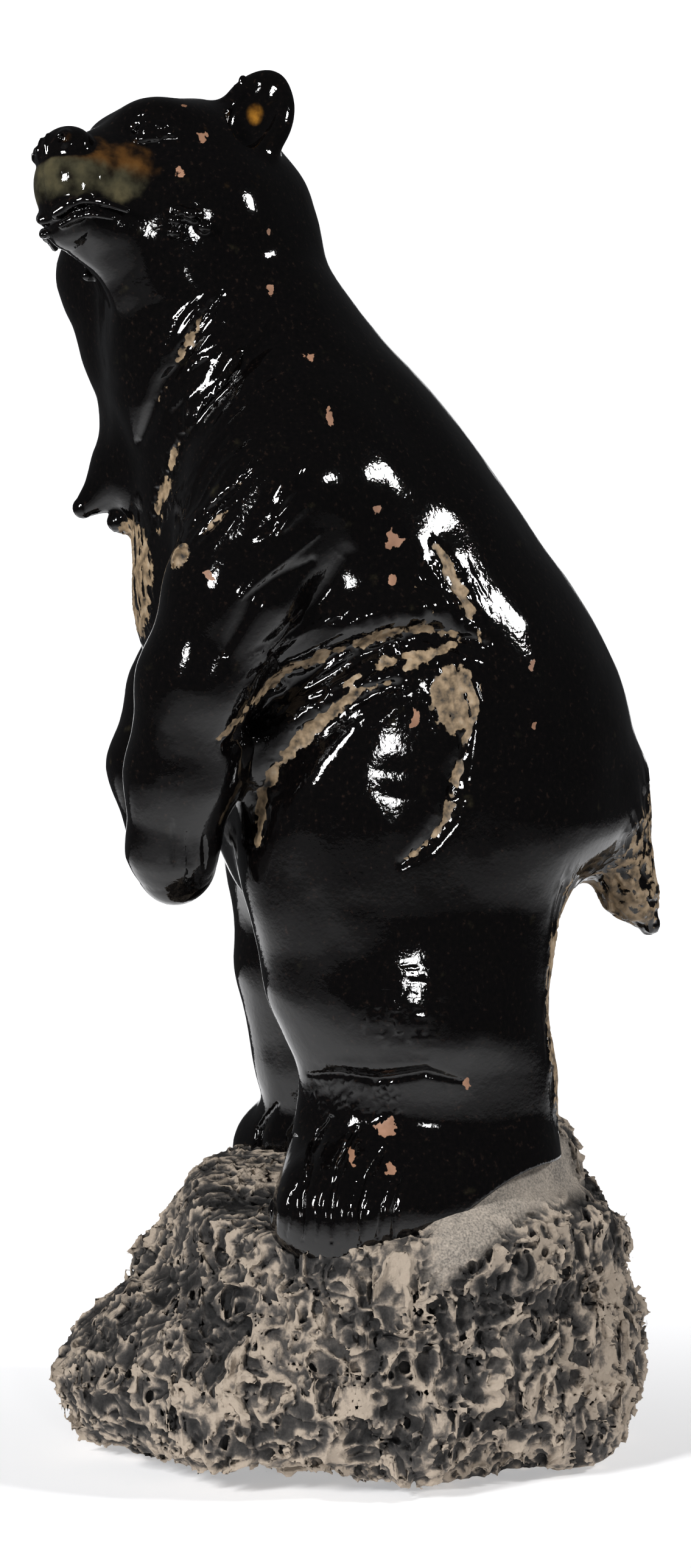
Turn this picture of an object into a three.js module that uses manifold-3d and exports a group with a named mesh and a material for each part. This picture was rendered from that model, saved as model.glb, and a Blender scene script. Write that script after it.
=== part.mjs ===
// A standing bear on a rough rock base: two glazed clay pieces, the bear bedded in the top of the rock.
// Millimetres, +Z up. The bear faces -Y with its left side to +X, and turns its head to its left.
import * as THREE from "three";
import { mergeVertices } from "three/addons/utils/BufferGeometryUtils.js";
import Module from "manifold-3d";

// ---- Finishes ----

const BLACK_GLAZE = { color: 0x0b0a0b, roughness: 0.12, metalness: 0 };
const STAINED_CLAY = { color: 0x6f6458, roughness: 0.85, metalness: 0 };

// ---- Bear: trunk and legs, as oval sections from the bottom up ----

const TRUNK_SECTIONS = [
  { z: 250, x: 0, y: 30, halfWidth: 36, halfDepth: 36 },
  { z: 262, x: 0, y: 30, halfWidth: 66, halfDepth: 62 },
  { z: 285, x: 0, y: 30, halfWidth: 88, halfDepth: 82 },
  { z: 311, x: 0, y: 38, halfWidth: 98, halfDepth: 103 },
  { z: 349, x: 0, y: 34.5, halfWidth: 102, halfDepth: 113.5 },
  { z: 386, x: 0, y: 24, halfWidth: 103, halfDepth: 118 },
  { z: 423, x: 0, y: 10, halfWidth: 100, halfDepth: 116 },
  { z: 461, x: 0, y: -3.5, halfWidth: 95, halfDepth: 104 },
  { z: 497, x: 0, y: -17, halfWidth: 89, halfDepth: 93 },
  { z: 534, x: 0, y: -33, halfWidth: 81, halfDepth: 81 },
  { z: 571, x: 0, y: -53, halfWidth: 69, halfDepth: 67 },
  { z: 600, x: 2, y: -66, halfWidth: 59, halfDepth: 58 },
  { z: 628, x: 5, y: -70, halfWidth: 49, halfDepth: 50 },
  { z: 650, x: 6, y: -68, halfWidth: 34, halfDepth: 36 },
  { z: 662, x: 6, y: -68, halfWidth: 12, halfDepth: 14 },
];
const LEG_SECTIONS = [
  { z: 110, x: 61, y: 28, halfWidth: 42, halfDepth: 58 },
  { z: 150, x: 58, y: 31, halfWidth: 46, halfDepth: 67 },
  { z: 178, x: 56, y: 35, halfWidth: 43, halfDepth: 65 },
  { z: 205, x: 57, y: 35, halfWidth: 44, halfDepth: 64 },
  { z: 222, x: 58, y: 30, halfWidth: 48.5, halfDepth: 66 },
  { z: 240, x: 58, y: 25.5, halfWidth: 49, halfDepth: 69.5 },
  { z: 270, x: 55, y: 26.5, halfWidth: 48.5, halfDepth: 72.5 },
  { z: 300, x: 54, y: 28, halfWidth: 46, halfDepth: 77 },
  { z: 340, x: 52, y: 34, halfWidth: 48, halfDepth: 74 },
];
const RIGHT_STEP = -7; // the right leg stands this far in front of the left one
const THIGH = { at: [57, 0, 330], radii: [46, 55, 92] };
const THIGH_BLEND = 20;

// ---- Bear: limbs, as chains of balls that the clay runs between ----

const LEFT_FOOT = [
  { at: [60, 64, 146], radius: 37 },
  { at: [82, 6, 140], radius: 36 },
  { at: [88, -12, 138], radius: 34 },
];
const RIGHT_FOOT = [
  { at: [-62, 54, 151], radius: 35 },
  { at: [-74, 2, 145], radius: 32 },
  { at: [-80, -24, 141], radius: 29 },
];
const RIGHT_SHIN = [
  { at: [-56, -11, 234], radius: 37 },
  { at: [-58, -8, 200], radius: 36 },
];
const LEFT_ARM = [
  { at: [80, -38, 484], radius: 38 },
  { at: [89, -60, 440], radius: 35 },
  { at: [88, -77, 398], radius: 31 },
  { at: [80, -87, 352], radius: 27 },
  { at: [72, -91, 316], radius: 22 },
  { at: [67, -89, 305], radius: 18 },
];
const RIGHT_ARM = [
  { at: [-80, -34, 484], radius: 38 },
  { at: [-88, -54, 430], radius: 34 },
  { at: [-80, -78, 385], radius: 29 },
  { at: [-60, -92, 346], radius: 26 },
  { at: [-52, -91, 314], radius: 19 },
];
const TAIL = [
  { at: [0, 126, 338], radius: 27 },
  { at: [0, 146, 284], radius: 13 },
  { at: [0, 156, 268], radius: 5 },
];
const TAIL_WIDTH = 1.5; // how much wider than thick
const SHOULDER = { at: [70, -32, 480], radii: [30, 48, 62], pitch: 22 };
const NAPE = { at: [-2, -53, 620], radii: [41, 36, 42] };
const SLEEVE = 25; // blend between big masses
const JOINT = 14; // blend where a limb joins the trunk
const SOFT = 7; // blend along a limb
const THROAT_BLENDS = { k: 16, own: 12 };
const RUFF_BLENDS = { k: JOINT, own: 9 };

// ---- Bear: throat, ruff and the tuft that hangs from the chest ----

const THROAT = [
  { at: [36, -108, 614], radius: 22 },
  { at: [34, -90, 594], radius: 26 },
  { at: [20, -75, 558], radius: 42 },
  { at: [18, -72, 548], radius: 45 },
];
const FAR_RUFF = [
  { at: [-22, -105, 624], radius: 29 },
  { at: [-29, -110, 598], radius: 33 },
  { at: [-22, -104, 564], radius: 27 },
  { at: [-12, -94, 525], radius: 26 },
  { at: [-10, -101, 503], radius: 26 },
];
const THROAT_RIDGE = [
  { at: [50, -132, 613], radius: 8 },
  { at: [48, -116, 602], radius: 9 },
  { at: [44, -108, 588], radius: 10 },
  { at: [34, -103, 568], radius: 11 },
  { at: [24, -101, 550], radius: 11 },
  { at: [14, -101, 530], radius: 12 },
  { at: [4, -104, 510], radius: 13 },
];
const TUFT = [
  { at: [-10, -105, 502], radius: 21 },
  { at: [-10, -132, 481], radius: 5 },
];

// ---- Head: its own frame has x to its left, y to its back and z to its crown ----

const HEAD = { at: [8, -76, 646], yaw: 30, pitch: -12, roll: -14 };
const CRANIUM = { at: [0, -2, -1], radii: [42, 45, 38] };
const CHEEKS = { at: [0, -4, -26], radii: [48, 42, 36] };
const BRIDGE = [
  { at: [0, -34, -2], radius: 24 },
  { at: [0, -72, -17], radius: 13 },
];
const UPPER_LIP = [
  { at: [0, -30, -20], radius: 29 },
  { at: [0, -69, -26], radius: 19 },
];
const JAW = [
  { at: [0, -22, -40], radius: 25 },
  { at: [0, -69, -43], radius: 13.5 },
];
const MUZZLE_WIDTH = 1.15;
const NOSE_PAD = { at: [0, -77, -9.5], radii: [18.5, 12.5, 12.6] };
const NOSTRIL = { at: [12.5, -89, -8], radii: [4, 5, 3.5] };
const BROW = { at: [16, -34, 13.5], radii: [16, 16, 9] };
const EYE_SOCKET = { at: [29, -50, 2], radii: [7.5, 6, 5.6] };
const EYEBALL = { at: [25, -45, 2.5], radii: [5.4, 5.2, 4.8] };
const EAR = { at: [33, 10.5, 20], radii: [19.2, 9.6, 30], yaw: 52, roll: 22 };
const EAR_CUP = { at: [0, -10.6, 3.5], radii: [12.6, 8, 22] }; // in the ear's own frame
const MOUTH = [
  { at: [0, -83, -48.5], radius: 2.4 },
  { at: [14, -78, -43], radius: 2.4 },
  { at: [24, -67, -43], radius: 2.4 },
  { at: [34, -49, -50], radius: 2.4 },
];

// ---- Bear: folds in the near flank, drawn in side view as [y, z] ----

const FOLDS = [
  { path: [[60, 414], [36, 421], [13, 417], [-10, 408], [-40, 390], [-64, 368]], width: 9, depth: 6 },
  { path: [[46, 436], [18, 432], [-14, 424], [-44, 408]], width: 12, depth: -4 },
  { path: [[14, 396], [-4, 388], [-28, 366], [-46, 342], [-52, 318]], width: 8, depth: 5 },
  { path: [[48, 380], [38, 350], [30, 330], [20, 316]], width: 9, depth: 3 },
  { path: [[-8, 460], [-30, 430], [-50, 400], [-62, 380]], width: 10, depth: 4 },
  { path: [[30, 207], [0, 203], [-24, 204]], width: 8, depth: 3 },
];
const FOLD_START_X = 15; // folds fade out towards the middle of the body
const FOLD_FADE = 20;
const PLUG_RECESS = { at: [103, -87, 457], radius: 6 }; // shallow round recess on the near shoulder

// ---- Rock base ----

const ROCK_SECTIONS = [
  { z: 0, x: 8, y: 6, halfWidth: 84, halfDepth: 106 },
  { z: 16, x: 6, y: -0.5, halfWidth: 98, halfDepth: 126.5 },
  { z: 35, x: 6, y: 1.5, halfWidth: 112, halfDepth: 147 },
  { z: 53, x: 6, y: 2, halfWidth: 114, halfDepth: 144 },
  { z: 72, x: 6, y: 9.5, halfWidth: 114, halfDepth: 135.5 },
  { z: 90, x: 6, y: 18.5, halfWidth: 114, halfDepth: 119.5 },
  { z: 109, x: 6, y: 27.5, halfWidth: 116, halfDepth: 113.5 },
  { z: 127, x: 8, y: 23.5, halfWidth: 116, halfDepth: 107.5 },
  { z: 145, x: 4, y: 21, halfWidth: 104, halfDepth: 97 },
  { z: 162, x: 0, y: 33, halfWidth: 91, halfDepth: 83 },
  { z: 182, x: 0, y: 40, halfWidth: 80, halfDepth: 66 },
];
// The top is low under the left toes and climbs to the right side and behind the heels.
const ROCK_TOP = { front: 127, heelRise: 41, heelStart: 4, heelLength: 88, rightRise: 18, rightStart: 95, rightLength: 110 };
// The underside hollows up under the left front quarter.
const UNDERCUT = { height: 16, startX: 10, lengthX: 60, startY: 48, lengthY: 85, slack: 0.85 };
const ROCK_LUMPS = { count: 46, lowest: 26, highest: 122, smallest: 14, largest: 28, blend: 7 };
const TOP_BLEND = 9;
const TOP_SLACK = 0.8; // the top slopes, so true distances are a little shorter
const SOLE_DEPTH = 9; // how far the feet are bedded in the rock
const BEDDING_GAP = 0.7; // clearance all round the bedded feet

// ---- Facets ----

const BEAR_CELL = 15.4;
const ROCK_CELL = 15;
const HEAD_CELL_SHARE = 0.5; // how much smaller the facets are at the head
const NECK_Z = [540, 600]; // the facets shrink between these heights
// The box that each lattice covers, a little larger than the piece.
const BEAR_REACH = { low: 96, high: 712, halfWidth: 160, halfDepth: 190 };
const ROCK_REACH = { low: -31, high: 205, halfWidth: 150, halfDepth: 180 };
const FLOOR_BLOCK = { side: 400, height: 100 };

// ---- Small helpers ----

const radians = THREE.MathUtils.degToRad;
const clamp = THREE.MathUtils.clamp;

const ease = (t) => THREE.MathUtils.smoothstep(t, 0, 1);

// Joins two distances so that their surfaces flow together over a width k.
function flow(a, b, k) {
  if (k <= 0) return Math.min(a, b);
  const h = Math.max(k - Math.abs(a - b), 0) / k;
  return Math.min(a, b) - (h * h * k) / 4;
}

// A frame: turned about Z (yaw), then X (pitch), then Y (roll), in degrees.
function frame({ at, yaw = 0, pitch = 0, roll = 0 }, parent = new THREE.Matrix4()) {
  const turn = new THREE.Matrix4().makeRotationZ(radians(yaw));
  turn.multiply(new THREE.Matrix4().makeRotationX(radians(pitch)));
  turn.multiply(new THREE.Matrix4().makeRotationY(radians(roll)));
  turn.setPosition(...at);
  return parent.clone().multiply(turn);
}

const mirrored = (shape, side) => ({
  ...shape,
  at: [side * shape.at[0], shape.at[1], shape.at[2]],
  yaw: side * (shape.yaw ?? 0),
  roll: side * (shape.roll ?? 0),
});

// Smooth curve through values given at rising stations, level beyond the ends.
function along(sections, key, z) {
  const last = sections.length - 1;
  const slope = (i) => {
    const a = sections[Math.max(i - 1, 0)];
    const b = sections[Math.min(i + 1, last)];
    return (b[key] - a[key]) / (b.z - a.z);
  };
  let i = 0;
  while (i < last - 1 && z > sections[i + 1].z) i += 1;
  const [a, b] = [sections[i], sections[i + 1]];
  const h = b.z - a.z;
  const t = clamp((z - a.z) / h, 0, 1);
  const rise = t * t * (3 - 2 * t);
  return (
    a[key] * (1 - rise) +
    b[key] * rise +
    h * t * (1 - t) * ((1 - t) * slope(i) - t * slope(i + 1))
  );
}

// ---- Modelling clay: masses are added and cut one after another ----

class Clay {
  steps = [];

  add(distance, k) {
    this.steps.push((p, d) => flow(d, distance(p), k));
    return this;
  }

  cut(distance, k) {
    this.steps.push((p, d) => -flow(-d, distance(p), k));
    return this;
  }

  distance(p) {
    return this.steps.reduce((d, step) => step(p, d), Infinity);
  }

  gradient(p, reach = 0.5) {
    const d = this.distance(p);
    const axis = (x, y, z) =>
      (this.distance(new THREE.Vector3(p.x + x, p.y + y, p.z + z)) - d) / reach;
    return new THREE.Vector3(axis(reach, 0, 0), axis(0, reach, 0), axis(0, 0, reach));
  }
}

// An ellipsoid in its own frame.
function egg(shape, parent) {
  const inverse = frame(shape, parent).invert();
  const radii = new THREE.Vector3(...shape.radii);
  const q = new THREE.Vector3();
  return (p) => {
    q.copy(p).applyMatrix4(inverse).divide(radii);
    const reach = q.length();
    const steepness = q.divide(radii).length() + 1e-9;
    return (reach * (reach - 1)) / steepness;
  };
}

// A limb between two balls; wide stretches its section along the side direction.
function limb(from, to, { parent = new THREE.Matrix4(), wide = 1 } = {}) {
  const start = new THREE.Vector3(...from.at).applyMatrix4(parent);
  const axis = new THREE.Vector3(...to.at).applyMatrix4(parent).sub(start);
  const side = new THREE.Vector3().setFromMatrixColumn(parent, 0);
  const q = new THREE.Vector3();
  return (p) => {
    q.copy(p).sub(start);
    const t = clamp(q.dot(axis) / axis.lengthSq(), 0, 1);
    q.addScaledVector(axis, -t);
    const across = q.dot(side);
    q.addScaledVector(side, across * (1 / wide - 1));
    const reach = q.length() + 1e-9;
    const square = reach ** 2 - (across / wide) ** 2 + (across / wide ** 2) ** 2;
    const steepness = Math.sqrt(Math.max(square, 1e-12)) / reach;
    return (reach - THREE.MathUtils.lerp(from.radius, to.radius, t)) / steepness;
  };
}

// A strand of links joined over own, then put on the clay over k.
function chain(clay, balls, { k = SOFT, own = 5, ...options } = {}) {
  const strand = new Clay();
  balls.slice(1).forEach((ball, i) => strand.add(limb(balls[i], ball, options), own));
  clay.add((p) => strand.distance(p), k);
}

// A stack of oval sections.
function column(sections, { mirror = 1, forward = 0 } = {}) {
  const low = sections[0].z;
  const high = sections[sections.length - 1].z;
  const slack = 0.9; // sections change with height, so true distances are a little shorter
  return (p) => {
    const z = clamp(p.z, low, high);
    const [halfWidth, halfDepth] = [along(sections, "halfWidth", z), along(sections, "halfDepth", z)];
    const x = (p.x - mirror * along(sections, "x", z)) / halfWidth;
    const y = (p.y - forward - along(sections, "y", z)) / halfDepth;
    const reach = Math.hypot(x, y);
    const inPlane = (slack * reach * (reach - 1)) / (Math.hypot(x / halfWidth, y / halfDepth) + 1e-9);
    const beyond = Math.max(low - p.z, p.z - high);
    return beyond > 0 && inPlane > 0 ? Math.hypot(inPlane, beyond) : Math.max(inPlane, beyond);
  };
}

// A fold pressed into the left side of the body along a path in side view, fading out at its ends.
function fold({ path, width, depth }) {
  const points = path.map(([y, z]) => new THREE.Vector2(y, z));
  const curve = new THREE.SplineCurve(points).getPoints(path.length * 3);
  return (p, d) => {
    if (p.x < FOLD_START_X || Math.abs(d) > 3 * width) return d;
    const here = new THREE.Vector2(p.y, p.z);
    const [gap, index] = curve.reduce(
      (best, c, i) => (c.distanceTo(here) < best[0] ? [c.distanceTo(here), i] : best),
      [Infinity, 0],
    );
    const strength = Math.sqrt(Math.sin((Math.PI * (index + 0.5)) / (curve.length + 1)));
    const fade = clamp((p.x - FOLD_START_X) / FOLD_FADE, 0, 1);
    return d + depth * strength * fade * Math.exp(-((gap / width) ** 2));
  };
}

// ---- The bear ----

function modelHead(clay) {
  const head = frame(HEAD);
  const onHead = { parent: head, wide: MUZZLE_WIDTH };
  clay.add(egg(CRANIUM, head), JOINT);
  clay.add(egg(CHEEKS, head), JOINT);
  chain(clay, BRIDGE, { parent: head, k: JOINT });
  chain(clay, UPPER_LIP, { ...onHead, k: JOINT });
  chain(clay, JAW, { ...onHead, k: 9 });
  clay.add(egg(NOSE_PAD, head), 2);
  for (const side of [1, -1]) {
    const ear = frame(mirrored(EAR, side), head);
    clay.add(egg(mirrored(BROW, side), head), JOINT);
    clay.add(egg(mirrored(EAR, side), head), SOFT);
    clay.cut(egg(EAR_CUP, ear), 3);
    clay.cut(egg(mirrored(EYE_SOCKET, side), head), SOFT);
    clay.add(egg(mirrored(EYEBALL, side), head), 1);
    clay.cut(egg(mirrored(NOSTRIL, side), head), 2);
    const lips = MOUTH.map((ball) => mirrored(ball, side));
    lips.slice(1).forEach((ball, i) => clay.cut(limb(lips[i], ball, { parent: head }), 4));
  }
}

function modelBear(rockTop) {
  const clay = new Clay();
  clay.add(column(TRUNK_SECTIONS), 0);
  for (const side of [1, -1]) {
    clay.add(egg(mirrored(SHOULDER, side)), SLEEVE);
    clay.add(column(LEG_SECTIONS, { mirror: side, forward: side > 0 ? 0 : RIGHT_STEP }), JOINT);
    clay.add(egg(mirrored(THIGH, side)), THIGH_BLEND);
  }
  clay.add(egg(NAPE), JOINT);
  chain(clay, FAR_RUFF, RUFF_BLENDS);
  chain(clay, TUFT);
  chain(clay, RIGHT_SHIN, { k: JOINT });
  chain(clay, LEFT_FOOT, { k: JOINT });
  chain(clay, RIGHT_FOOT, { k: JOINT });
  chain(clay, TAIL, { k: JOINT, own: 3, wide: TAIL_WIDTH });
  chain(clay, LEFT_ARM, { k: JOINT, own: SOFT });
  chain(clay, RIGHT_ARM, { k: JOINT, own: SOFT });
  modelHead(clay);
  chain(clay, THROAT, THROAT_BLENDS);
  chain(clay, THROAT_RIDGE);
  FOLDS.forEach((shape) => clay.steps.push(fold(shape)));
  const recess = new THREE.Vector3(...PLUG_RECESS.at);
  clay.cut((p) => p.distanceTo(recess) - PLUG_RECESS.radius, 2);
  clay.cut((p) => p.z - rockTop(p) + SOLE_DEPTH, 2);
  return clay;
}

// ---- The rock ----

function rockTop(p) {
  const { front, heelRise, heelStart, heelLength, rightRise, rightStart, rightLength } = ROCK_TOP;
  const heel = ease((p.y - heelStart) / heelLength);
  return front + heelRise * heel + rightRise * (1 - heel) * ease((rightStart - p.x) / rightLength);
}

function rockUndercut(p) {
  const { height, startX, lengthX, startY, lengthY } = UNDERCUT;
  return height * ease((p.x - startX) / lengthX) * ease((startY - p.y) / lengthY);
}

// Lumps spread evenly round the rock, each turned its own way.
function rockLump(index) {
  const goldenAngle = Math.PI * (3 - Math.sqrt(5));
  const vary = (seed) => 0.5 + 0.5 * Math.sin(index * seed);
  const { count, lowest, highest, smallest, largest } = ROCK_LUMPS;
  const z = THREE.MathUtils.lerp(lowest, highest, (index + 0.5) / count);
  const round = index * goldenAngle;
  const set = 0.89; // lumps sit a little inside the outline
  const x = along(ROCK_SECTIONS, "x", z) + set * along(ROCK_SECTIONS, "halfWidth", z) * Math.sin(round);
  const y = along(ROCK_SECTIONS, "y", z) - set * along(ROCK_SECTIONS, "halfDepth", z) * Math.cos(round);
  const size = THREE.MathUtils.lerp(smallest, largest, vary(2.3));
  return {
    at: [x, y, z],
    radii: [size * (1 + 0.7 * vary(3.7)), size * 0.65, size * (0.6 + 0.6 * vary(5.1))],
    yaw: THREE.MathUtils.radToDeg(round),
    roll: 60 * Math.sin(index * 1.9),
  };
}

function modelRock() {
  const clay = new Clay();
  clay.add(column(ROCK_SECTIONS), 0);
  for (let i = 0; i < ROCK_LUMPS.count; i += 1) {
    clay.add(egg(rockLump(i)), ROCK_LUMPS.blend);
  }
  clay.cut((p) => TOP_SLACK * (rockTop(p) - p.z), TOP_BLEND);
  clay.cut((p) => UNDERCUT.slack * (p.z - rockUndercut(p)), ROCK_LUMPS.blend);
  return clay;
}

// ---- From clay to a closed faceted surface ----

// A lattice of box cells round a centre line. At each height every cell is share(z) of the full size.
function lattice({ low, high, halfWidth, halfDepth, cell, share = () => 1, centreY }) {
  const heights = [low];
  while (heights[heights.length - 1] < high) {
    const z = heights[heights.length - 1];
    heights.push(z + cell * share(z));
  }
  const columns = Math.ceil(halfWidth / cell);
  const rows = Math.ceil(halfDepth / cell);
  const place = (i, j, k) => {
    const z = heights[k];
    const step = cell * share(z);
    return new THREE.Vector3(step * (i - columns), centreY(z) + step * (j - rows), z);
  };
  return { count: [2 * columns + 1, 2 * rows + 1, heights.length], place };
}

// Fills lattice squares where two masses only touch corner to corner, so that no edge has four faces.
function fillPinches(values, [nx, ny, nz], strides) {
  const sliver = -0.05;
  for (let at = 0; at < nx * ny * (nz - 1); at += 1) {
    for (const [u, v] of [[0, 1], [1, 2], [2, 0]]) {
      const corners = [at, at + strides[u], at + strides[u] + strides[v], at + strides[v]];
      const inside = corners.map((corner) => values[corner] < 0);
      if (inside[0] !== inside[2] || inside[1] !== inside[3] || inside[0] === inside[1]) continue;
      for (const corner of corners) values[corner] = Math.min(values[corner], sliver);
    }
  }
}

// One vertex in every cell that the surface crosses, one quad across every lattice edge that it cuts.
function facets(clay, grid) {
  const [nx, ny, nz] = grid.count;
  const index = (i, j, k) => (k * ny + j) * nx + i;
  const places = [];
  for (let k = 0; k < nz; k += 1)
    for (let j = 0; j < ny; j += 1) for (let i = 0; i < nx; i += 1) places.push(grid.place(i, j, k));
  const values = places.map((p) => clay.distance(p));
  const strides = [index(1, 0, 0), index(0, 1, 0), index(0, 0, 1)];
  fillPinches(values, grid.count, strides);
  const cells = new Map();
  const vertices = [];

  const cellVertex = (start) => {
    if (cells.has(start)) return cells.get(start);
    const sum = new THREE.Vector3();
    let crossings = 0;
    strides.forEach((stride, axis) => {
      const [u, v] = [strides[(axis + 1) % 3], strides[(axis + 2) % 3]];
      for (const corner of [0, u, v, u + v]) {
        const [a, b] = [start + corner, start + corner + stride];
        if (values[a] < 0 === values[b] < 0) continue;
        sum.add(places[a].clone().lerp(places[b], values[a] / (values[a] - values[b])));
        crossings += 1;
      }
    });
    vertices.push(sum.divideScalar(crossings));
    cells.set(start, vertices.length - 1);
    return vertices.length - 1;
  };

  const triangles = [];
  const addQuads = (i, j, k) => {
    const at = index(i, j, k);
    strides.forEach((stride, axis) => {
      if (values[at] < 0 === values[at + stride] < 0) return;
      const [u, v] = [strides[(axis + 1) % 3], strides[(axis + 2) % 3]];
      const quad = [at - u - v, at - v, at, at - u].map(cellVertex);
      if (values[at] >= 0) quad.reverse();
      const [a, b, c, d] = quad;
      const shorter = vertices[a].distanceTo(vertices[c]) < vertices[b].distanceTo(vertices[d]);
      triangles.push(...(shorter ? [a, b, c, a, c, d] : [a, b, d, b, c, d]));
    });
  };
  for (let k = 1; k < nz - 1; k += 1)
    for (let j = 1; j < ny - 1; j += 1) for (let i = 1; i < nx - 1; i += 1) addQuads(i, j, k);
  return { vertices, triangles };
}

// Slides each vertex along the slope onto the true surface.
function settle(clay, vertices, passes = 2) {
  const furthest = 2;
  for (let pass = 0; pass < passes; pass += 1)
    for (const vertex of vertices) {
      const slope = clay.gradient(vertex);
      const step = -clay.distance(vertex) / Math.max(slope.lengthSq(), 0.25);
      vertex.addScaledVector(slope, clamp(step, -furthest, furthest));
    }
}

function geometryOf(vertices, triangles) {
  const geometry = new THREE.BufferGeometry().setFromPoints(vertices);
  geometry.setIndex(triangles);
  return geometry;
}

// ---- Joins and cuts ----

const wasm = await Module();
wasm.setup();

function solidOf(geometry) {
  geometry.deleteAttribute("normal");
  geometry.deleteAttribute("uv");
  const merged = mergeVertices(geometry);
  return new wasm.Manifold(
    new wasm.Mesh({
      numProp: 3,
      vertProperties: merged.attributes.position.array,
      triVerts: new Uint32Array(merged.index.array),
    }),
  );
}

function geometryFrom(solid) {
  const mesh = solid.getMesh();
  const geometry = new THREE.BufferGeometry();
  geometry.setAttribute("position", new THREE.BufferAttribute(mesh.vertProperties, 3));
  geometry.setIndex(new THREE.BufferAttribute(mesh.triVerts, 1));
  geometry.computeVertexNormals();
  return geometry;
}

const bearClay = modelBear(rockTop);
const [neckLow, neckHigh] = NECK_Z;
const neckShare = (z) =>
  THREE.MathUtils.lerp(1, HEAD_CELL_SHARE, THREE.MathUtils.smoothstep(z, neckLow, neckHigh));
const bearFacets = facets(
  bearClay,
  lattice({
    ...BEAR_REACH,
    cell: BEAR_CELL,
    share: neckShare,
    centreY: (z) => along(TRUNK_SECTIONS, "y", z),
  }),
);
settle(bearClay, bearFacets.vertices);

function makeBear() {
  const geometry = geometryOf(bearFacets.vertices, bearFacets.triangles);
  return geometryFrom(solidOf(geometry));
}

// The bear again, a little fatter, to cut its bed in the rock.
function makeBed() {
  const fatter = bearFacets.vertices.map((vertex) =>
    vertex.clone().addScaledVector(bearClay.gradient(vertex).normalize(), BEDDING_GAP),
  );
  return solidOf(geometryOf(fatter, bearFacets.triangles));
}

function makeRock() {
  const clay = modelRock();
  const { vertices, triangles } = facets(
    clay,
    lattice({ ...ROCK_REACH, cell: ROCK_CELL, centreY: () => 0 }),
  );
  settle(clay, vertices);
  const { side, height } = FLOOR_BLOCK;
  const below = new THREE.BoxGeometry(side, side, height).translate(0, 0, -height / 2);
  const rough = solidOf(geometryOf(vertices, triangles)).subtract(solidOf(below));
  return geometryFrom(rough.subtract(makeBed()));
}

function pieceOf(name, geometry, finish) {
  const mesh = new THREE.Mesh(geometry, new THREE.MeshStandardMaterial(finish));
  mesh.name = name;
  return mesh;
}

// ---- The group stands on its underside, centred on its box ----

const standingBear = new THREE.Group();
standingBear.add(pieceOf("bear", makeBear(), BLACK_GLAZE));
standingBear.add(pieceOf("rock_base", makeRock(), STAINED_CLAY));
const box = new THREE.Box3().setFromObject(standingBear);
const middle = box.getCenter(new THREE.Vector3());
standingBear.position.set(-middle.x, -middle.y, -box.min.z);

export default standingBear;
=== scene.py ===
"""A standing bear in black glazed clay on a stained rock base, dressed over its CAD frame.

Both pieces are modelled the way the sculptor works. Masses of clay are joined and cut, grooves and fur are
drawn over them, and the glaze and the stain are painted on. Inside the clay all lengths are millimetres;
the bear faces -Y, its left side is +X, and +Z is up. The finished pieces are in metres in the CAD frame.
"""

import logging
import math
from dataclasses import dataclass, field
from enum import Enum
from functools import cached_property
from typing import Callable, Sequence

import bpy
import numpy as np
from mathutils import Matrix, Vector


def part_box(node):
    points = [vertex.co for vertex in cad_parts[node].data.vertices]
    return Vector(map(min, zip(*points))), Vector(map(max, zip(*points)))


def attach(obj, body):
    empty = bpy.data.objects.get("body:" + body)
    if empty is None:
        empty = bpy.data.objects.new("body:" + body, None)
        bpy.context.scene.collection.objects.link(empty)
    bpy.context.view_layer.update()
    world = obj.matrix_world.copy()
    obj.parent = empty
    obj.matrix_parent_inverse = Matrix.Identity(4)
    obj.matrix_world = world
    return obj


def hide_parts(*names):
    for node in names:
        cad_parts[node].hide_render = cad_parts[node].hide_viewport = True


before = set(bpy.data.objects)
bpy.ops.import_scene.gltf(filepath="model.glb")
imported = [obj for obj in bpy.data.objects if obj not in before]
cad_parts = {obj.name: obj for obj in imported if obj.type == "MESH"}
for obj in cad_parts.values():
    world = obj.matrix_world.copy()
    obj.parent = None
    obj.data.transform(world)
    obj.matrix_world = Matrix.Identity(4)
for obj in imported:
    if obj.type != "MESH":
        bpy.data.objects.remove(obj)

log = logging.getLogger("standing_bear")

MM = 0.001
TRIANGLE_BUDGET = 196000
Points = np.ndarray
Path = Sequence[Sequence[float]]
Place = tuple[float, float, float]
Egg = tuple[Place, Place]
Limb = tuple[Place, Place, tuple[float, float]]


class Slot(Enum):
    """Material slots of the record."""

    GLAZE = "black_glaze"
    CLAY = "stained_clay"


class Paint(Enum):
    """Painted layers that a surface carries as vertex attributes."""

    BARE = "bare_clay"
    CHIP = "chipped_glaze"
    WARM = "warm_glaze"
    OLIVE = "olive_glaze"
    AMBER = "amber_spot"
    CLEAN = "clean_crests"
    SMOOTH = "rock_smooth"


# ---- Clay: a distance field that masses are added to and cut from ----


def flow(a: Points, b: Points, k: float) -> Points:
    """Joins two distances so that their surfaces flow together over a width k.

    Args:
        a: first distance.
        b: second distance.
        k: width over which the surfaces blend, in mm.

    Returns:
        The joined distance.
    """
    if k <= 0:
        return np.minimum(a, b)
    h = np.maximum(k - np.abs(a - b), 0) / k
    return np.minimum(a, b) - h * h * k / 4


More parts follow.
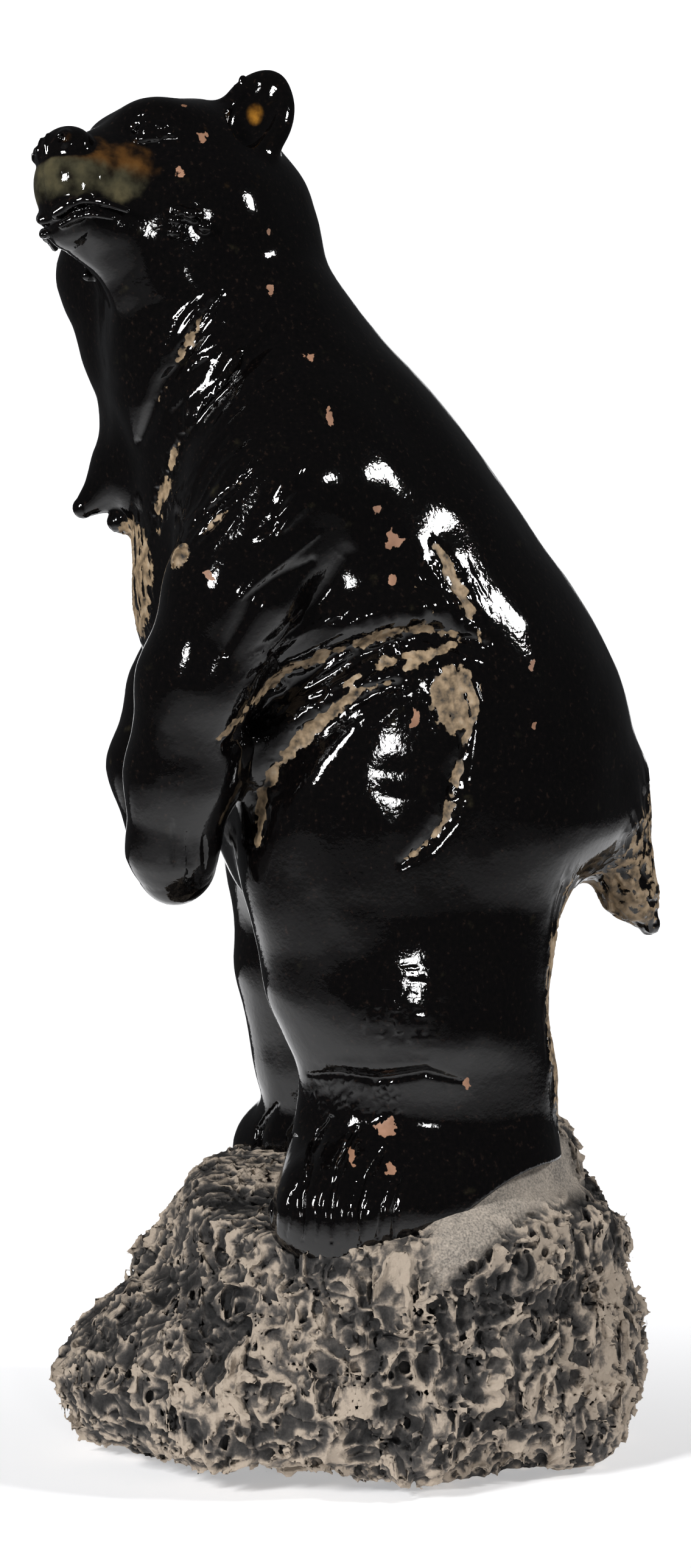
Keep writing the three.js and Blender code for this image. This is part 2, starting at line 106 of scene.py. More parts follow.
def turn(yaw: float = 0, pitch: float = 0, roll: float = 0) -> np.ndarray:
    """Rotation about Z, then X, then Y, in degrees; its columns are side, back and up.

    Args:
        yaw: turn about Z.
        pitch: turn about X.
        roll: turn about Y.

    Returns:
        A 3 by 3 matrix.
    """
    y, p, r = np.radians([yaw, pitch, roll])
    about_z = np.array([[np.cos(y), -np.sin(y), 0], [np.sin(y), np.cos(y), 0], [0, 0, 1]])
    about_x = np.array([[1, 0, 0], [0, np.cos(p), -np.sin(p)], [0, np.sin(p), np.cos(p)]])
    about_y = np.array([[np.cos(r), 0, np.sin(r)], [0, 1, 0], [-np.sin(r), 0, np.cos(r)]])
    return about_z @ about_x @ about_y


def ease(t: Points) -> Points:
    """Smooth step of t, held at 0 and 1 outside."""
    t = np.clip(t, 0, 1)
    return t * t * (3 - 2 * t)


def curve(z: Points, stations: Points, values: Points) -> Points:
    """Smooth curve through values at rising stations, level beyond the ends.

    Args:
        z: heights in mm.
        stations: rising heights that have a value.
        values: the value at each station.

    Returns:
        The curve's value at each height.
    """
    slope = np.gradient(values, stations)
    i = np.clip(np.searchsorted(stations, z) - 1, 0, len(stations) - 2)
    h = stations[i + 1] - stations[i]
    t = np.clip((z - stations[i]) / h, 0, 1)
    rise = t * t * (3 - 2 * t)
    ends = values[i] * (1 - rise) + values[i + 1] * rise
    return ends + h * t * (1 - t) * ((1 - t) * slope[i] - t * slope[i + 1])


NOISE_SIDE = 64
NOISE_TABLE = np.random.default_rng(11).random((NOISE_SIDE,) * 3).astype(np.float32)


def noise(q: Points, seed: int = 0) -> Points:
    """Smooth value noise from -1 to 1 with one cell per unit.

    Args:
        q: places, as one row for each.
        seed: picks another noise of the same kind.

    Returns:
        One number for each place.
    """
    q = q + seed * 17.31
    cell = np.floor(q).astype(np.int32)
    f = q - cell
    f = f * f * (3 - 2 * f)
    low = cell & (NOISE_SIDE - 1)
    high = (cell + 1) & (NOISE_SIDE - 1)
    total = np.zeros(len(q))
    for corner in range(8):
        pick = [(corner >> axis) & 1 for axis in range(3)]
        at = [high[:, axis] if pick[axis] else low[:, axis] for axis in range(3)]
        weight = np.prod([f[:, axis] if pick[axis] else 1 - f[:, axis] for axis in range(3)], axis=0)
        total += weight * NOISE_TABLE[at[0], at[1], at[2]]
    return 2 * total - 1


def ridges(q: Points, seed: int = 0) -> Points:
    """Noise with sharp crests at 1 and broad hollows towards 0."""
    return 1 - np.abs(noise(q, seed))


def pits(q: Points, seed: int = 0) -> tuple[Points, Points]:
    """Distance to the nearest scattered point in cell units, and that point's own random number.

    Args:
        q: places, as one row for each.
        seed: picks another noise of the same kind.

    Returns:
        The distance and the number for each place.
    """
    base = np.floor(q - 0.5).astype(np.int32)
    nearest = np.full(len(q), 9.0)
    number = np.zeros(len(q))
    for corner in range(8):
        cell = base + [(corner >> axis) & 1 for axis in range(3)]
        keys = [(cell + seed + 7 * axis) & (NOISE_SIDE - 1) for axis in range(4)]
        spots = [NOISE_TABLE[k[:, 0], k[:, 1], k[:, 2]] for k in keys]
        away = np.sqrt(sum((cell[:, a] + 0.2 + 0.6 * spots[a] - q[:, a]) ** 2 for a in range(3)))
        closer = away < nearest
        nearest[closer] = away[closer]
        number[closer] = spots[3][closer]
    return nearest, number


JOINT = 14
SOFT = 7
SLEEVE = 25
FAR_AWAY = 200.0


@dataclass
class Clay:
    """Modelling clay around a set of points.

    Attributes:
        points: where the distance is wanted, in mm.
        painted: whether the painted layers are wanted too.
    """

    points: Points
    painted: bool = False

    def __post_init__(self) -> None:
        """Starts with no clay and no paint."""
        self.distance = np.full(len(self.points), FAR_AWAY)
        self.paint = {layer: np.zeros(len(self.points)) for layer in Paint} if self.painted else {}

    def around(self, centre: Points, reach: float) -> np.ndarray:
        """Indices of the points in a cube of half side reach.

        Args:
            centre: the cube's middle.
            reach: its half side in mm.

        Returns:
            The indices.
        """
        near = np.abs(self.points[:, 2] - centre[2]) < reach
        i = np.nonzero(near)[0]
        return i[np.all(np.abs(self.points[i, :2] - centre[:2]) < reach, axis=1)]

    def put(self, i: np.ndarray, distance: Points, k: float, cut: bool = False) -> None:
        """Joins a mass on at points i, or cuts it away.

        Args:
            i: which points the mass is near.
            distance: the mass's distance at those points.
            k: width of the blend in mm.
            cut: whether to cut instead of add.
        """
        if cut:
            self.distance[i] = -flow(-self.distance[i], distance, k)
        else:
            self.distance[i] = flow(self.distance[i], distance, k)

    def egg(
        self,
        at: Sequence[float],
        radii: Sequence[float],
        axes: np.ndarray = np.eye(3),
        k: float = 8,
        cut: bool = False,
    ) -> None:
        """Adds or cuts an ellipsoid whose axes are the columns of axes.

        Args:
            at: its middle.
            radii: its radii in mm.
            axes: its own directions, as columns.
            k: width over which the surfaces blend, in mm.
            cut: whether to cut instead of add.
        """
        centre, radii = np.asarray(at, float), np.asarray(radii, float)
        i = self.around(centre, radii.max() + k + 20)
        q = (self.points[i] - centre) @ axes
        reach = np.sqrt(((q / radii) ** 2).sum(1))
        steepness = np.sqrt(((q / radii**2) ** 2).sum(1)) + 1e-9
        self.put(i, reach * (reach - 1) / steepness, k, cut)

    def limb(
        self,
        start: Sequence[float],
        end: Sequence[float],
        radii: Sequence[float],
        k: float = 8,
        wide: float = 1,
        side: Sequence[float] = (1, 0, 0),
        cut: bool = False,
    ) -> None:
        """Adds or cuts a limb between two balls, its section stretched by wide along side.

        Args:
            start: middle of the first ball.
            end: middle of the last ball.
            radii: radii of the two balls in mm.
            k: width over which the surfaces blend, in mm.
            wide: how much wider than thick it is.
            side: direction in which it is stretched.
            cut: whether to cut instead of add.
        """
        a, b = np.asarray(start, float), np.asarray(end, float)
        reach = np.linalg.norm(b - a) / 2 + max(radii) * max(wide, 1) + k + 20
        i = self.around((a + b) / 2, reach)
        offset, axis, side = self.points[i] - a, b - a, np.asarray(side, float)
        t = np.clip(offset @ axis / (axis @ axis), 0, 1)
        q = offset - t[:, None] * axis
        across = q @ side
        q = q - (across * (1 - 1 / wide))[:, None] * side
        length = np.linalg.norm(q, axis=1) + 1e-9
        square = length**2 - (across / wide) ** 2 + (across / wide**2) ** 2
        steepness = np.sqrt(np.maximum(square, 1e-12)) / length
        self.put(i, (length - radii[0] - (radii[1] - radii[0]) * t) / steepness, k, cut)

    def chain(self, balls: Path, k: float = SOFT, own: float = 5, **shape) -> None:
        """Runs a strand of clay through balls given as (x, y, z, radius) and joins it on over k.

        Args:
            balls: the strand's balls.
            k: width over which the surfaces blend, in mm.
            own: blend between its own links, in mm.
            shape: further settings of each link.
        """
        strand = Clay(self.points)
        for a, b in zip(balls[:-1], balls[1:]):
            strand.limb(a[:3], b[:3], (a[3], b[3]), own, **shape)
        near = np.nonzero(strand.distance < FAR_AWAY / 2)[0]
        self.put(near, strand.distance[near], k)

    def column(self, sections: Path, k: float = 0, mirror: int = 1, forward: float = 0) -> None:
        """Adds a stack of oval sections (z, x, y, half width, half depth), from the bottom up.

        Args:
            sections: the sections.
            k: width over which the surfaces blend, in mm.
            mirror: -1 for the right side's copy.
            forward: added to every y.
        """
        z0, x, y, wide, deep = np.array(sections, float).T
        low, high = z0[0], z0[-1]
        i = np.nonzero((self.points[:, 2] > low - 60) & (self.points[:, 2] < high + 60))[0]
        p = self.points[i]
        z = np.clip(p[:, 2], low, high)
        w, d = curve(z, z0, wide), curve(z, z0, deep)
        qx = (p[:, 0] - mirror * curve(z, z0, x)) / w
        qy = (p[:, 1] - forward - curve(z, z0, y)) / d
        reach = np.hypot(qx, qy)
        slack = 0.9
        flat = slack * reach * (reach - 1) / (np.hypot(qx / w, qy / d) + 1e-9)
        beyond = np.maximum(low - p[:, 2], p[:, 2] - high)
        outside = (beyond > 0) & (flat > 0)
        self.put(i, np.where(outside, np.hypot(flat, beyond), np.maximum(flat, beyond)), k)

    def groove(self, shape: "Groove") -> None:
        """Presses a groove or raises a ridge, drawn in side view, into one side of the body.

        Args:
            shape: the shape to draw.
        """
        path = np.array(shape.path, float)
        low, high = path.min(0) - 2.5 * shape.width, path.max(0) + 2.5 * shape.width
        p = self.points
        i = np.nonzero((p[:, 2] > low[1]) & (p[:, 2] < high[1]) & (p[:, 0] * shape.side > shape.start))[0]
        i = i[(p[i, 1] > low[0]) & (p[i, 1] < high[0])]
        i = i[np.abs(self.distance[i]) < 3 * abs(shape.depth) + 25]
        if not len(i):
            return
        gap, along = nearest_on(path, p[i, 1:])
        if shape.ragged:
            gap = np.maximum(gap + shape.ragged * noise(p[i] / (0.45 * shape.width + 1), 3), 0)
        swell = np.sin(np.pi * np.clip(along, 0.02, 0.98))
        width = shape.width * (0.35 + 0.65 * swell**0.6)
        fade = np.clip((p[i, 0] * shape.side - shape.start) / shape.fade, 0, 1)
        profile = np.exp(-((gap / width) ** 2)) * fade
        self.distance[i] += shape.depth * profile * (0.2 + 0.8 * swell**0.5)
        if self.painted and shape.bare:
            layer = self.paint[Paint.BARE]
            worn = 0.78 + 0.5 * noise(p[i] / 8, 9) + 0.25 * noise(p[i] / 3, 10)
            layer[i] = np.maximum(layer[i], shape.bare * profile * worn)

    def grain(self, shape: "Grain") -> None:
        """Combs fine strokes over an egg-shaped patch.

        Args:
            shape: the shape to draw.
        """
        centre = np.array(shape.at, float)
        i = self.around(centre, 1.3 * max(shape.radii))
        i = i[np.abs(self.distance[i]) < 12]
        if not len(i):
            return
        p = self.points[i]
        mask = ease(2.2 * (1.15 - np.sqrt((((p - centre) / shape.radii) ** 2).sum(1))))
        axis = np.array(shape.along, float) / np.linalg.norm(shape.along)
        stroke = p / shape.width
        stroke = stroke - (stroke @ axis * (1 - shape.width / shape.length))[:, None] * axis
        waver = noise(p / (4 * shape.width), 5)[:, None] * 0.5
        relief = ridges(stroke + waver, shape.seed) - 0.5
        self.distance[i] -= shape.depth * 1.6 * mask * relief
        if self.painted and shape.bare:
            layer = self.paint[Paint.BARE]
            layer[i] = np.maximum(layer[i], shape.bare * mask * ease(0.5 + 1.4 * relief))


@dataclass(frozen=True)
class Groove:
    """A groove drawn in side view.

    Attributes:
        path: (y, z) points, in mm.
        width: half width where it is widest.
        depth: how deep it is pressed; a ridge when negative.
        bare: how much of the glaze is scraped off along it, 0 to 1.
        side: 1 for the bear's left side, -1 for its right.
        start: x at which it begins to fade in, from the middle outwards.
        fade: the width it fades in over.
        ragged: how far its edge wanders.
    """

    path: Path
    width: float
    depth: float
    bare: float = 0
    side: int = 1
    start: float = 15
    fade: float = 20
    ragged: float = 0


@dataclass(frozen=True)
class Grain:
    """A patch of combed strokes: where it lies, how the strokes run and how deep they are, in mm."""

    at: Sequence[float]
    radii: Sequence[float]
    along: Sequence[float]
    length: float
    width: float
    depth: float
    bare: float = 0
    seed: int = 1


def nearest_on(path: Points, q: Points) -> tuple[Points, Points]:
    """Distance from 2-D points q to a path, and how far along it the nearest place is, 0 to 1.

    Args:
        path: the points of the path.
        q: 2-D points.

    Returns:
        The distance and the share of the path for each point.
    """
    marks = np.concatenate([[0], np.cumsum(np.linalg.norm(np.diff(path, axis=0), axis=1))])
    marks /= marks[-1]
    gap, along = np.full(len(q), 1e9), np.zeros(len(q))
    for k, (a, b) in enumerate(zip(path[:-1], path[1:])):
        t = np.clip((q - a) @ (b - a) / ((b - a) @ (b - a)), 0, 1)
        away = np.linalg.norm(q - a - t[:, None] * (b - a), axis=1)
        closer = away < gap
        gap[closer] = away[closer]
        along[closer] = (marks[k] + (marks[k + 1] - marks[k]) * t)[closer]
    return gap, along


# ---- From clay to a closed surface ----

Model = Callable[[Points, bool], Clay]
BLOCK = 4


@dataclass(frozen=True)
class Lattice:
    """Box cells round a centre line, smaller where share(z) is smaller.

    Attributes:
        low, high: heights of its ends.
        half_width, half_depth: reach to each side of the centre line, at full cell size.
        cell: cell size in mm.
        share: cell size at a height, as a share of the full size.
        centre_y: y of the centre line at a height.
    """

    low: float
    high: float
    half_width: float
    half_depth: float
    cell: float
    share: Callable[[Points], Points] = np.ones_like
    centre_y: Callable[[Points], Points] = np.zeros_like

    def counts(self) -> tuple[int, int, int]:
        """Lattice points along x, y and z, whole blocks each way.

        Returns:
            The three counts.
        """
        heights = len(self.heights())
        wide, deep = (
            BLOCK * math.ceil(2 * half / self.cell / BLOCK) for half in (self.half_width, self.half_depth)
        )
        return wide, deep, heights

    def heights(self) -> Points:
        """Heights of the lattice's levels.

        Returns:
            The heights, from the bottom up.
        """
        levels = [self.low]
        while levels[-1] < self.high or len(levels) % BLOCK:
            levels.append(levels[-1] + self.cell * float(self.share(np.array([levels[-1]]))[0]))
        return np.array(levels)

    def place(self, index: Points) -> Points:
        """Positions of lattice points, whose indices may be fractions.

        Args:
            index: lattice indices, as one row for each.

        Returns:
            Positions in mm.
        """
        nx, ny, nz = self.counts()
        z = np.interp(index[:, 2], np.arange(nz), self.heights())
        step = self.cell * self.share(z)
        x = step * (index[:, 0] - nx / 2)
        y = self.centre_y(z) + step * (index[:, 1] - ny / 2)
        return np.stack([x, y, z], 1)


def distances(model: Model, lattice: Lattice) -> Points:
    """Distance at every lattice point, exact near the surface only.

    Args:
        model: fills clay around given points.
        lattice: the lattice.

    Returns:
        A block of distances, indexed by lattice point.
    """
    counts = np.array(lattice.counts())
    blocks = np.stack(np.meshgrid(*[np.arange(n // BLOCK) for n in counts], indexing="ij"), -1)
    blocks = blocks.reshape(-1, 3)
    rough = model(lattice.place(BLOCK * blocks + (BLOCK - 1) / 2), False).distance
    reach = 0.95 * BLOCK * lattice.cell + 4
    values = rough.reshape(counts // BLOCK).astype(np.float32)
    close = np.abs(values) < reach
    for axis in range(3):
        values, close = np.repeat(values, BLOCK, axis), np.repeat(close, BLOCK, axis)
    near = np.argwhere(close)
    for part in np.array_split(near, max(1, len(near) // 400000)):
        values[tuple(part.T)] = model(lattice.place(part), False).distance
    return values


def surface(values: Points, lattice: Lattice) -> tuple[Points, np.ndarray]:
    """One vertex in every cell that the surface crosses, one quad across every lattice edge it cuts.

    Args:
        values: distance at each lattice point.
        lattice: the lattice.

    Returns:
        The vertices' positions and the quads.
    """
    inside = values < 0
    filled = np.zeros(np.array(values.shape) - 1, np.int8)
    corners = [(x, y, z) for x in (0, 1) for y in (0, 1) for z in (0, 1)]
    for x, y, z in corners:
        nx, ny, nz = filled.shape
        filled += inside[x : nx + x, y : ny + y, z : nz + z]
    crossed = (filled > 0) & (filled < 8)
    number = np.full(filled.shape, -1, np.int32)
    cells = np.argwhere(crossed)
    number[crossed] = np.arange(len(cells))
    total, hits = np.zeros((len(cells), 3)), np.zeros(len(cells))
    for axis in range(3):
        u, v = [other for other in range(3) if other != axis]
        for du, dv in ((0, 0), (0, 1), (1, 0), (1, 1)):
            start = cells.copy()
            start[:, u] += du
            start[:, v] += dv
            end = start.copy()
            end[:, axis] += 1
            a, b = values[tuple(start.T)], values[tuple(end.T)]
            cut = (a < 0) != (b < 0)
            spot = start[cut].astype(float)
            spot[:, axis] += a[cut] / (a[cut] - b[cut])
            total[cut] += spot
            hits[cut] += 1
    quads = []
    for axis in range(3):
        u, v = (axis + 1) % 3, (axis + 2) % 3
        lower, upper = [slice(None)] * 3, [slice(None)] * 3
        lower[axis], upper[axis] = slice(0, -1), slice(1, None)
        edges = np.argwhere(inside[tuple(lower)] != inside[tuple(upper)])
        edges = edges[(edges[:, u] > 0) & (edges[:, v] > 0)]
        edges = edges[(edges[:, u] < values.shape[u] - 1) & (edges[:, v] < values.shape[v] - 1)]
        ring = []
        for du, dv in ((-1, -1), (0, -1), (0, 0), (-1, 0)):
            cell = edges.copy()
            cell[:, u] += du
            cell[:, v] += dv
            ring.append(number[tuple(cell.T)])
        quad = np.stack(ring, 1)
        outward = inside[tuple(edges.T)]
        quad[~outward] = quad[~outward][:, ::-1]
        quads.append(quad)
    return lattice.place(total / hits[:, None]), np.concatenate(quads)


def slope(model: Model, points: Points, distance: Points, reach: float = 0.4) -> Points:
    """Gradient of the distance at points."""
    steps = reach * np.eye(3)
    return np.stack([model(points + step, False).distance - distance for step in steps], 1) / reach


def settle(model: Model, points: Points, passes: int) -> Points:
    """Slides points along the slope onto the true surface.

    Args:
        model: fills clay around given points.
        points: places near the surface, in mm.
        passes: how often they are moved.

    Returns:
        The moved points.
    """
    for _ in range(passes):
        distance = model(points, False).distance
        gradient = slope(model, points, distance)
        steep = np.maximum((gradient**2).sum(1), 0.25)
        move = np.clip(-distance / steep, -1, 1)
        points = points + move[:, None] * gradient
    return points


def mesh_from(name: str, vertices: Points, faces: np.ndarray) -> bpy.types.Mesh:
    """A Blender mesh from vertices in mm and quads or triangles.

    Args:
        name: the mesh's name.
        vertices: positions in mm.
        faces: rows of three or four vertex numbers.

    Returns:
        The mesh.
    """
    mesh = bpy.data.meshes.new(name)
    sides = faces.shape[1]
    mesh.vertices.add(len(vertices))
    mesh.vertices.foreach_set("co", (vertices * MM).astype(np.float32).ravel())
    mesh.loops.add(faces.size)
    mesh.loops.foreach_set("vertex_index", faces.astype(np.int32).ravel())
    mesh.polygons.add(len(faces))
    mesh.polygons.foreach_set("loop_start", np.arange(0, faces.size, sides, dtype=np.int32))
    mesh.update(calc_edges=True)
    mesh.validate()
    return mesh


def thinned(mesh: bpy.types.Mesh, most_triangles: int) -> bpy.types.Mesh:
    """The mesh with fewer, well placed triangles, at most most_triangles.

    Args:
        mesh: the mesh to thin.
        most_triangles: the triangle budget.

    Returns:
        A new mesh.
    """
    carrier = bpy.data.objects.new("carrier", mesh)
    bpy.context.scene.collection.objects.link(carrier)
    split = carrier.modifiers.new("split", "TRIANGULATE")
    split.quad_method = "SHORTEST_DIAGONAL"
    triangles = 2 * len(mesh.polygons)
    if triangles > most_triangles:
        thin = carrier.modifiers.new("thin", "DECIMATE")
        thin.ratio = most_triangles / triangles
    graph = bpy.context.evaluated_depsgraph_get()
    result = bpy.data.meshes.new_from_object(carrier.evaluated_get(graph))
    bpy.data.objects.remove(carrier)
    return result


def sculpt(
    name: str, model: Model, lattice: Lattice, most_triangles: int, passes: int = 1
) -> bpy.types.Object:
    """Models a piece and returns it as an object with painted layers and true normals.

    Args:
        name: the object's name.
        model: fills clay around given points.
        lattice: where to look for the surface.
        most_triangles: the piece's triangle budget.
        passes: how often the vertices are settled onto the surface.

    Returns:
        The object, still in clay coordinates.
    """
    vertices, quads = surface(distances(model, lattice), lattice)
    rough = mesh_from(name, settle(model, vertices, passes), quads)
    mesh = thinned(rough, most_triangles)
    mesh.name = name
    points = np.empty(3 * len(mesh.vertices), np.float32)
    mesh.vertices.foreach_get("co", points)
    points = points.reshape(-1, 3).astype(float) / MM
    clay = model(points, True)
    for layer, amount in clay.paint.items():
        if amount.any():
            attribute = mesh.attributes.new(layer.value, "FLOAT", "POINT")
            attribute.data.foreach_set("value", amount.astype(np.float32))
    normals = slope(model, points, clay.distance)
    normals /= np.linalg.norm(normals, axis=1)[:, None] + 1e-9
    mesh.polygons.foreach_set("use_smooth", np.ones(len(mesh.polygons), bool))
    mesh.normals_split_custom_set_from_vertices(normals)
    made = bpy.data.objects.new(name, mesh)
    bpy.context.scene.collection.objects.link(made)
    log.info("%s: %d of %d triangles", name, len(mesh.polygons), 2 * len(quads))
    return made


# ---- Pieces ----


@dataclass(frozen=True)
class Piece:
    """A finished visible piece and the CAD node it stands for."""

    node: str
    shown: bpy.types.Object
    slot: Slot

    def dress(self, material: bpy.types.Material) -> None:
        """Gives the piece its material and ties it to its CAD node.

        Args:
            material: the finish.
        """
        self.shown.data.materials.append(material)
        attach(self.shown, "root")
        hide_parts(self.node)
        log.info("piece %s stands for %s", self.shown.name, self.node)


# ---- Strokes drawn over the bear ----

FOLDS = (
    Groove([(60, 414), (36, 421), (13, 417), (-10, 408), (-40, 390), (-64, 368)], 9, 6.5),
    Groove([(46, 436), (18, 432), (-14, 424), (-44, 408)], 12, -4),
    Groove(
        [(58, 417), (30, 424), (12, 421), (-10, 414), (-33, 405), (-50, 392), (-70, 372)],
        3.8, 1.2, 1.1, ragged=1.6,
    ),
    Groove([(14, 396), (-4, 388), (-28, 366), (-46, 342), (-52, 318)], 8, 5.5),
    Groove(
        [(14, 398), (0, 395), (-12, 386), (-24, 376), (-40, 358), (-47, 342), (-49, 318)],
        4.0, 1.2, 1.1, ragged=1.6,
    ),
    Groove([(24, 412), (8, 406), (-8, 397)], 3.2, 1.6, 1.0, ragged=1.2),
    Groove([(0, 419), (-9, 410), (-22, 400)], 2.2, -1.4),
    Groove([(-6, 399), (-18, 395), (-30, 390)], 1.8, -1.2),
    Groove([(52, 382), (45, 356), (39, 332), (30, 320), (18, 311)], 5, 2.6),
    Groove([(52, 380), (46, 356), (40, 333), (31, 321), (20, 313)], 3.0, 0.8, 1.0, ragged=1.6),
    Groove([(36, 466), (43, 450), (50, 436), (58, 420)], 4.5, 2.2, 0.95, ragged=2.0),
    Groove([(20, 405), (32, 412), (50, 418)], 4.0, 1.0, 1.0, ragged=1.8),
    Groove([(48, 406), (46, 390), (43, 374)], 6.5, 1.2, 0.9, ragged=3.2),
    Groove([(-8, 460), (-30, 430), (-50, 400), (-62, 380)], 9, 3),
    Groove([(-26, 457), (-44, 448), (-54, 441), (-60, 430), (-68, 414)], 4.5, 2.6),
)
CHEST_STROKES = (
    Groove([(-40, 566), (-56, 547), (-70, 531), (-83, 511), (-87, 492)], 5, 3.0, fade=14),
    Groove([(-66, 584), (-77, 567), (-88, 549), (-98, 531), (-104, 514)], 5, 3.0, fade=14),
    Groove([(-72, 580), (-80, 566), (-87, 553)], 3, 0.6, 0.9, ragged=1.5),
    Groove([(-97, 534), (-92, 541)], 2.6, 0.4, 0.9, ragged=1.2),
    Groove([(-88, 512), (-91, 498), (-96, 480), (-97, 468)], 3.2, 1.4, 0.9, ragged=1.6),
    Groove([(-50, 505), (-66, 488), (-82, 472)], 2.6, 1.6, 0.55, ragged=0.8),
    Groove([(-60, 486), (-71, 476), (-80, 467)], 2.4, 1.4, 0.75, ragged=0.8),
    Groove([(-47, 510), (-62, 494), (-77, 481)], 2.2, -1.4),
    Groove([(-44, 556), (-54, 545), (-62, 534)], 2.4, -1.4),
    Groove([(-56, 560), (-62, 548), (-66, 540)], 2.0, -1.2),
    Groove([(-30, 503), (-38, 490), (-44, 478)], 3.0, -1.6),
    Groove([(-28, 484), (-36, 478), (-42, 471)], 3.2, -1.4),
    Groove([(-22, 470), (-36, 460), (-50, 449), (-60, 440)], 2.2, -1.3),
)
TOE_GROOVES = (
    Groove([(-30, 172), (-38, 160), (-43, 146), (-44, 130)], 1.5, 1.7),
    Groove([(-30, 160), (-36, 148), (-38, 130)], 1.1, 0.9),
    Groove([(-14, 184), (-24, 168), (-30, 150), (-31, 130)], 1.8, 2.1),
    Groove([(-18, 162), (-23, 148), (-25, 130)], 1.1, 0.9),
    Groove([(-2, 180), (-12, 165), (-17, 148), (-17, 130)], 1.8, 2.1),
    Groove([(-4, 158), (-9, 146), (-10, 130)], 1.1, 0.9),
    Groove([(10, 172), (2, 160), (-3, 146), (-3, 130)], 1.8, 1.9),
    Groove([(12, 158), (7, 146), (5, 131)], 1.1, 0.8),
    Groove([(24, 166), (17, 156), (13, 144), (13, 131)], 1.7, 1.6),
    Groove([(-24, 204), (-10, 207), (8, 205), (30, 209), (48, 204)], 2.6, 1.6),
    Groove([(30, 214), (4, 211), (-20, 212)], 4.5, -1.2),
    Groove([(-92, 332), (-92, 310)], 1.3, 1.1),
    Groove([(-85, 326), (-84, 304)], 1.3, 1.1),
    Groove([(-77, 324), (-76, 306)], 1.2, 0.9),
)
FAR_GROOVES = tuple(
    Groove([(y + 12, 172), (y + 4, 156), (y, 128)], 1.8, 2.0, side=-1) for y in (-44, -30, -16, -2)
) + (
    Groove([(40, 421), (10, 410), (-26, 398), (-52, 376)], 9, 5, side=-1),
    Groove([(10, 392), (-18, 372), (-40, 340), (-48, 318)], 8, 4, side=-1),
    Groove([(44, 380), (38, 350), (26, 320)], 6, 2.5, side=-1),
    Groove([(-44, 560), (-66, 532), (-82, 500)], 5, 3, side=-1),
    Groove([(-26, 457), (-50, 444), (-66, 414)], 5, 2.6, side=-1),
)
TAIL_GRAINS = (
    Grain((0, 146, 306), (46, 26, 50), (0, 0.3, -1), 26, 4.5, 1.9, 0.62, 4),
    Grain((0, 132, 282), (44, 34, 26), (0, 0.9, -0.4), 16, 6.0, 1.4, 0.8, 6),
    Grain((58, 104, 238), (34, 15, 72), (0, 0.12, 1), 20, 3.8, 1.7, 0.78, 7),
    Grain((-58, 98, 238), (34, 15, 72), (0, 0.12, 1), 20, 3.8, 1.5, 0.7, 8),
)
FUR_GRAINS = (
    Grain((62, -66, 548), (46, 34, 40), (0, -0.75, -0.8), 24, 5.0, 0.9, 0, 2),
    Grain((98, -58, 486), (34, 34, 34), (0, -0.75, -0.8), 26, 5.0, 0.8, 0, 3),
    Grain((92, -20, 404), (40, 48, 34), (0, -1, -0.55), 24, 4.5, 1.0, 0, 9),
    Grain((92, 30, 428), (34, 34, 36), (0, 0.4, -1), 18, 4.5, 0.8, 0.3, 10),
    Grain((96, 22, 240), (26, 26, 26), (0, 1, 0.06), 24, 1.8, 0.14, 0, 12),
    Grain((98, 44, 390), (24, 15, 18), (0, 0.35, -1), 16, 2.2, 0.7, 0.95, 13),
    Grain((10, -106, 446), (34, 20, 34), (0.2, 0.2, -1), 9, 4.0, 0.9, 0.9, 14),
    Grain((88, -4, 192), (32, 26, 22), (0, -0.8, -0.6), 20, 2.4, 0.22, 0, 15),
    Grain((-70, -62, 530), (46, 40, 60), (0, -0.75, -0.8), 24, 5.0, 0.9, 0, 16),
)
CHIPS = (
    (-83, 677, 2.0, 1.4),
    (-74, 662, 3.2, 4.2),
    (-74, 651, 2.6, 1.6),
    (-86, 643, 2.8, 3.6),
    (-42, 616, 2.0, 2.2),
    (-42, 587, 2.8, 3.6),
    (-24, 554, 3.8, 2.6),
    (-16, 525, 3.0, 6.0),
    (7, 481, 2.2, 3.0),
    (15, 466, 6.4, 5.6),
    (14, 447, 2.6, 3.4),
    (25, 382, 2.4, 4.0),
    (84, 376, 2.6, 1.8),
    (84, 405, 3.0, 3.4),
    (-75, 450, 3.4, 3.2),
    (12, 181, 6.8, 4.6),
    (12, 163, 3.2, 4.4),
    (51, 202, 2.8, 3.4),
    (-6, 168, 1.8, 5.0),
)


# ---- The head ----


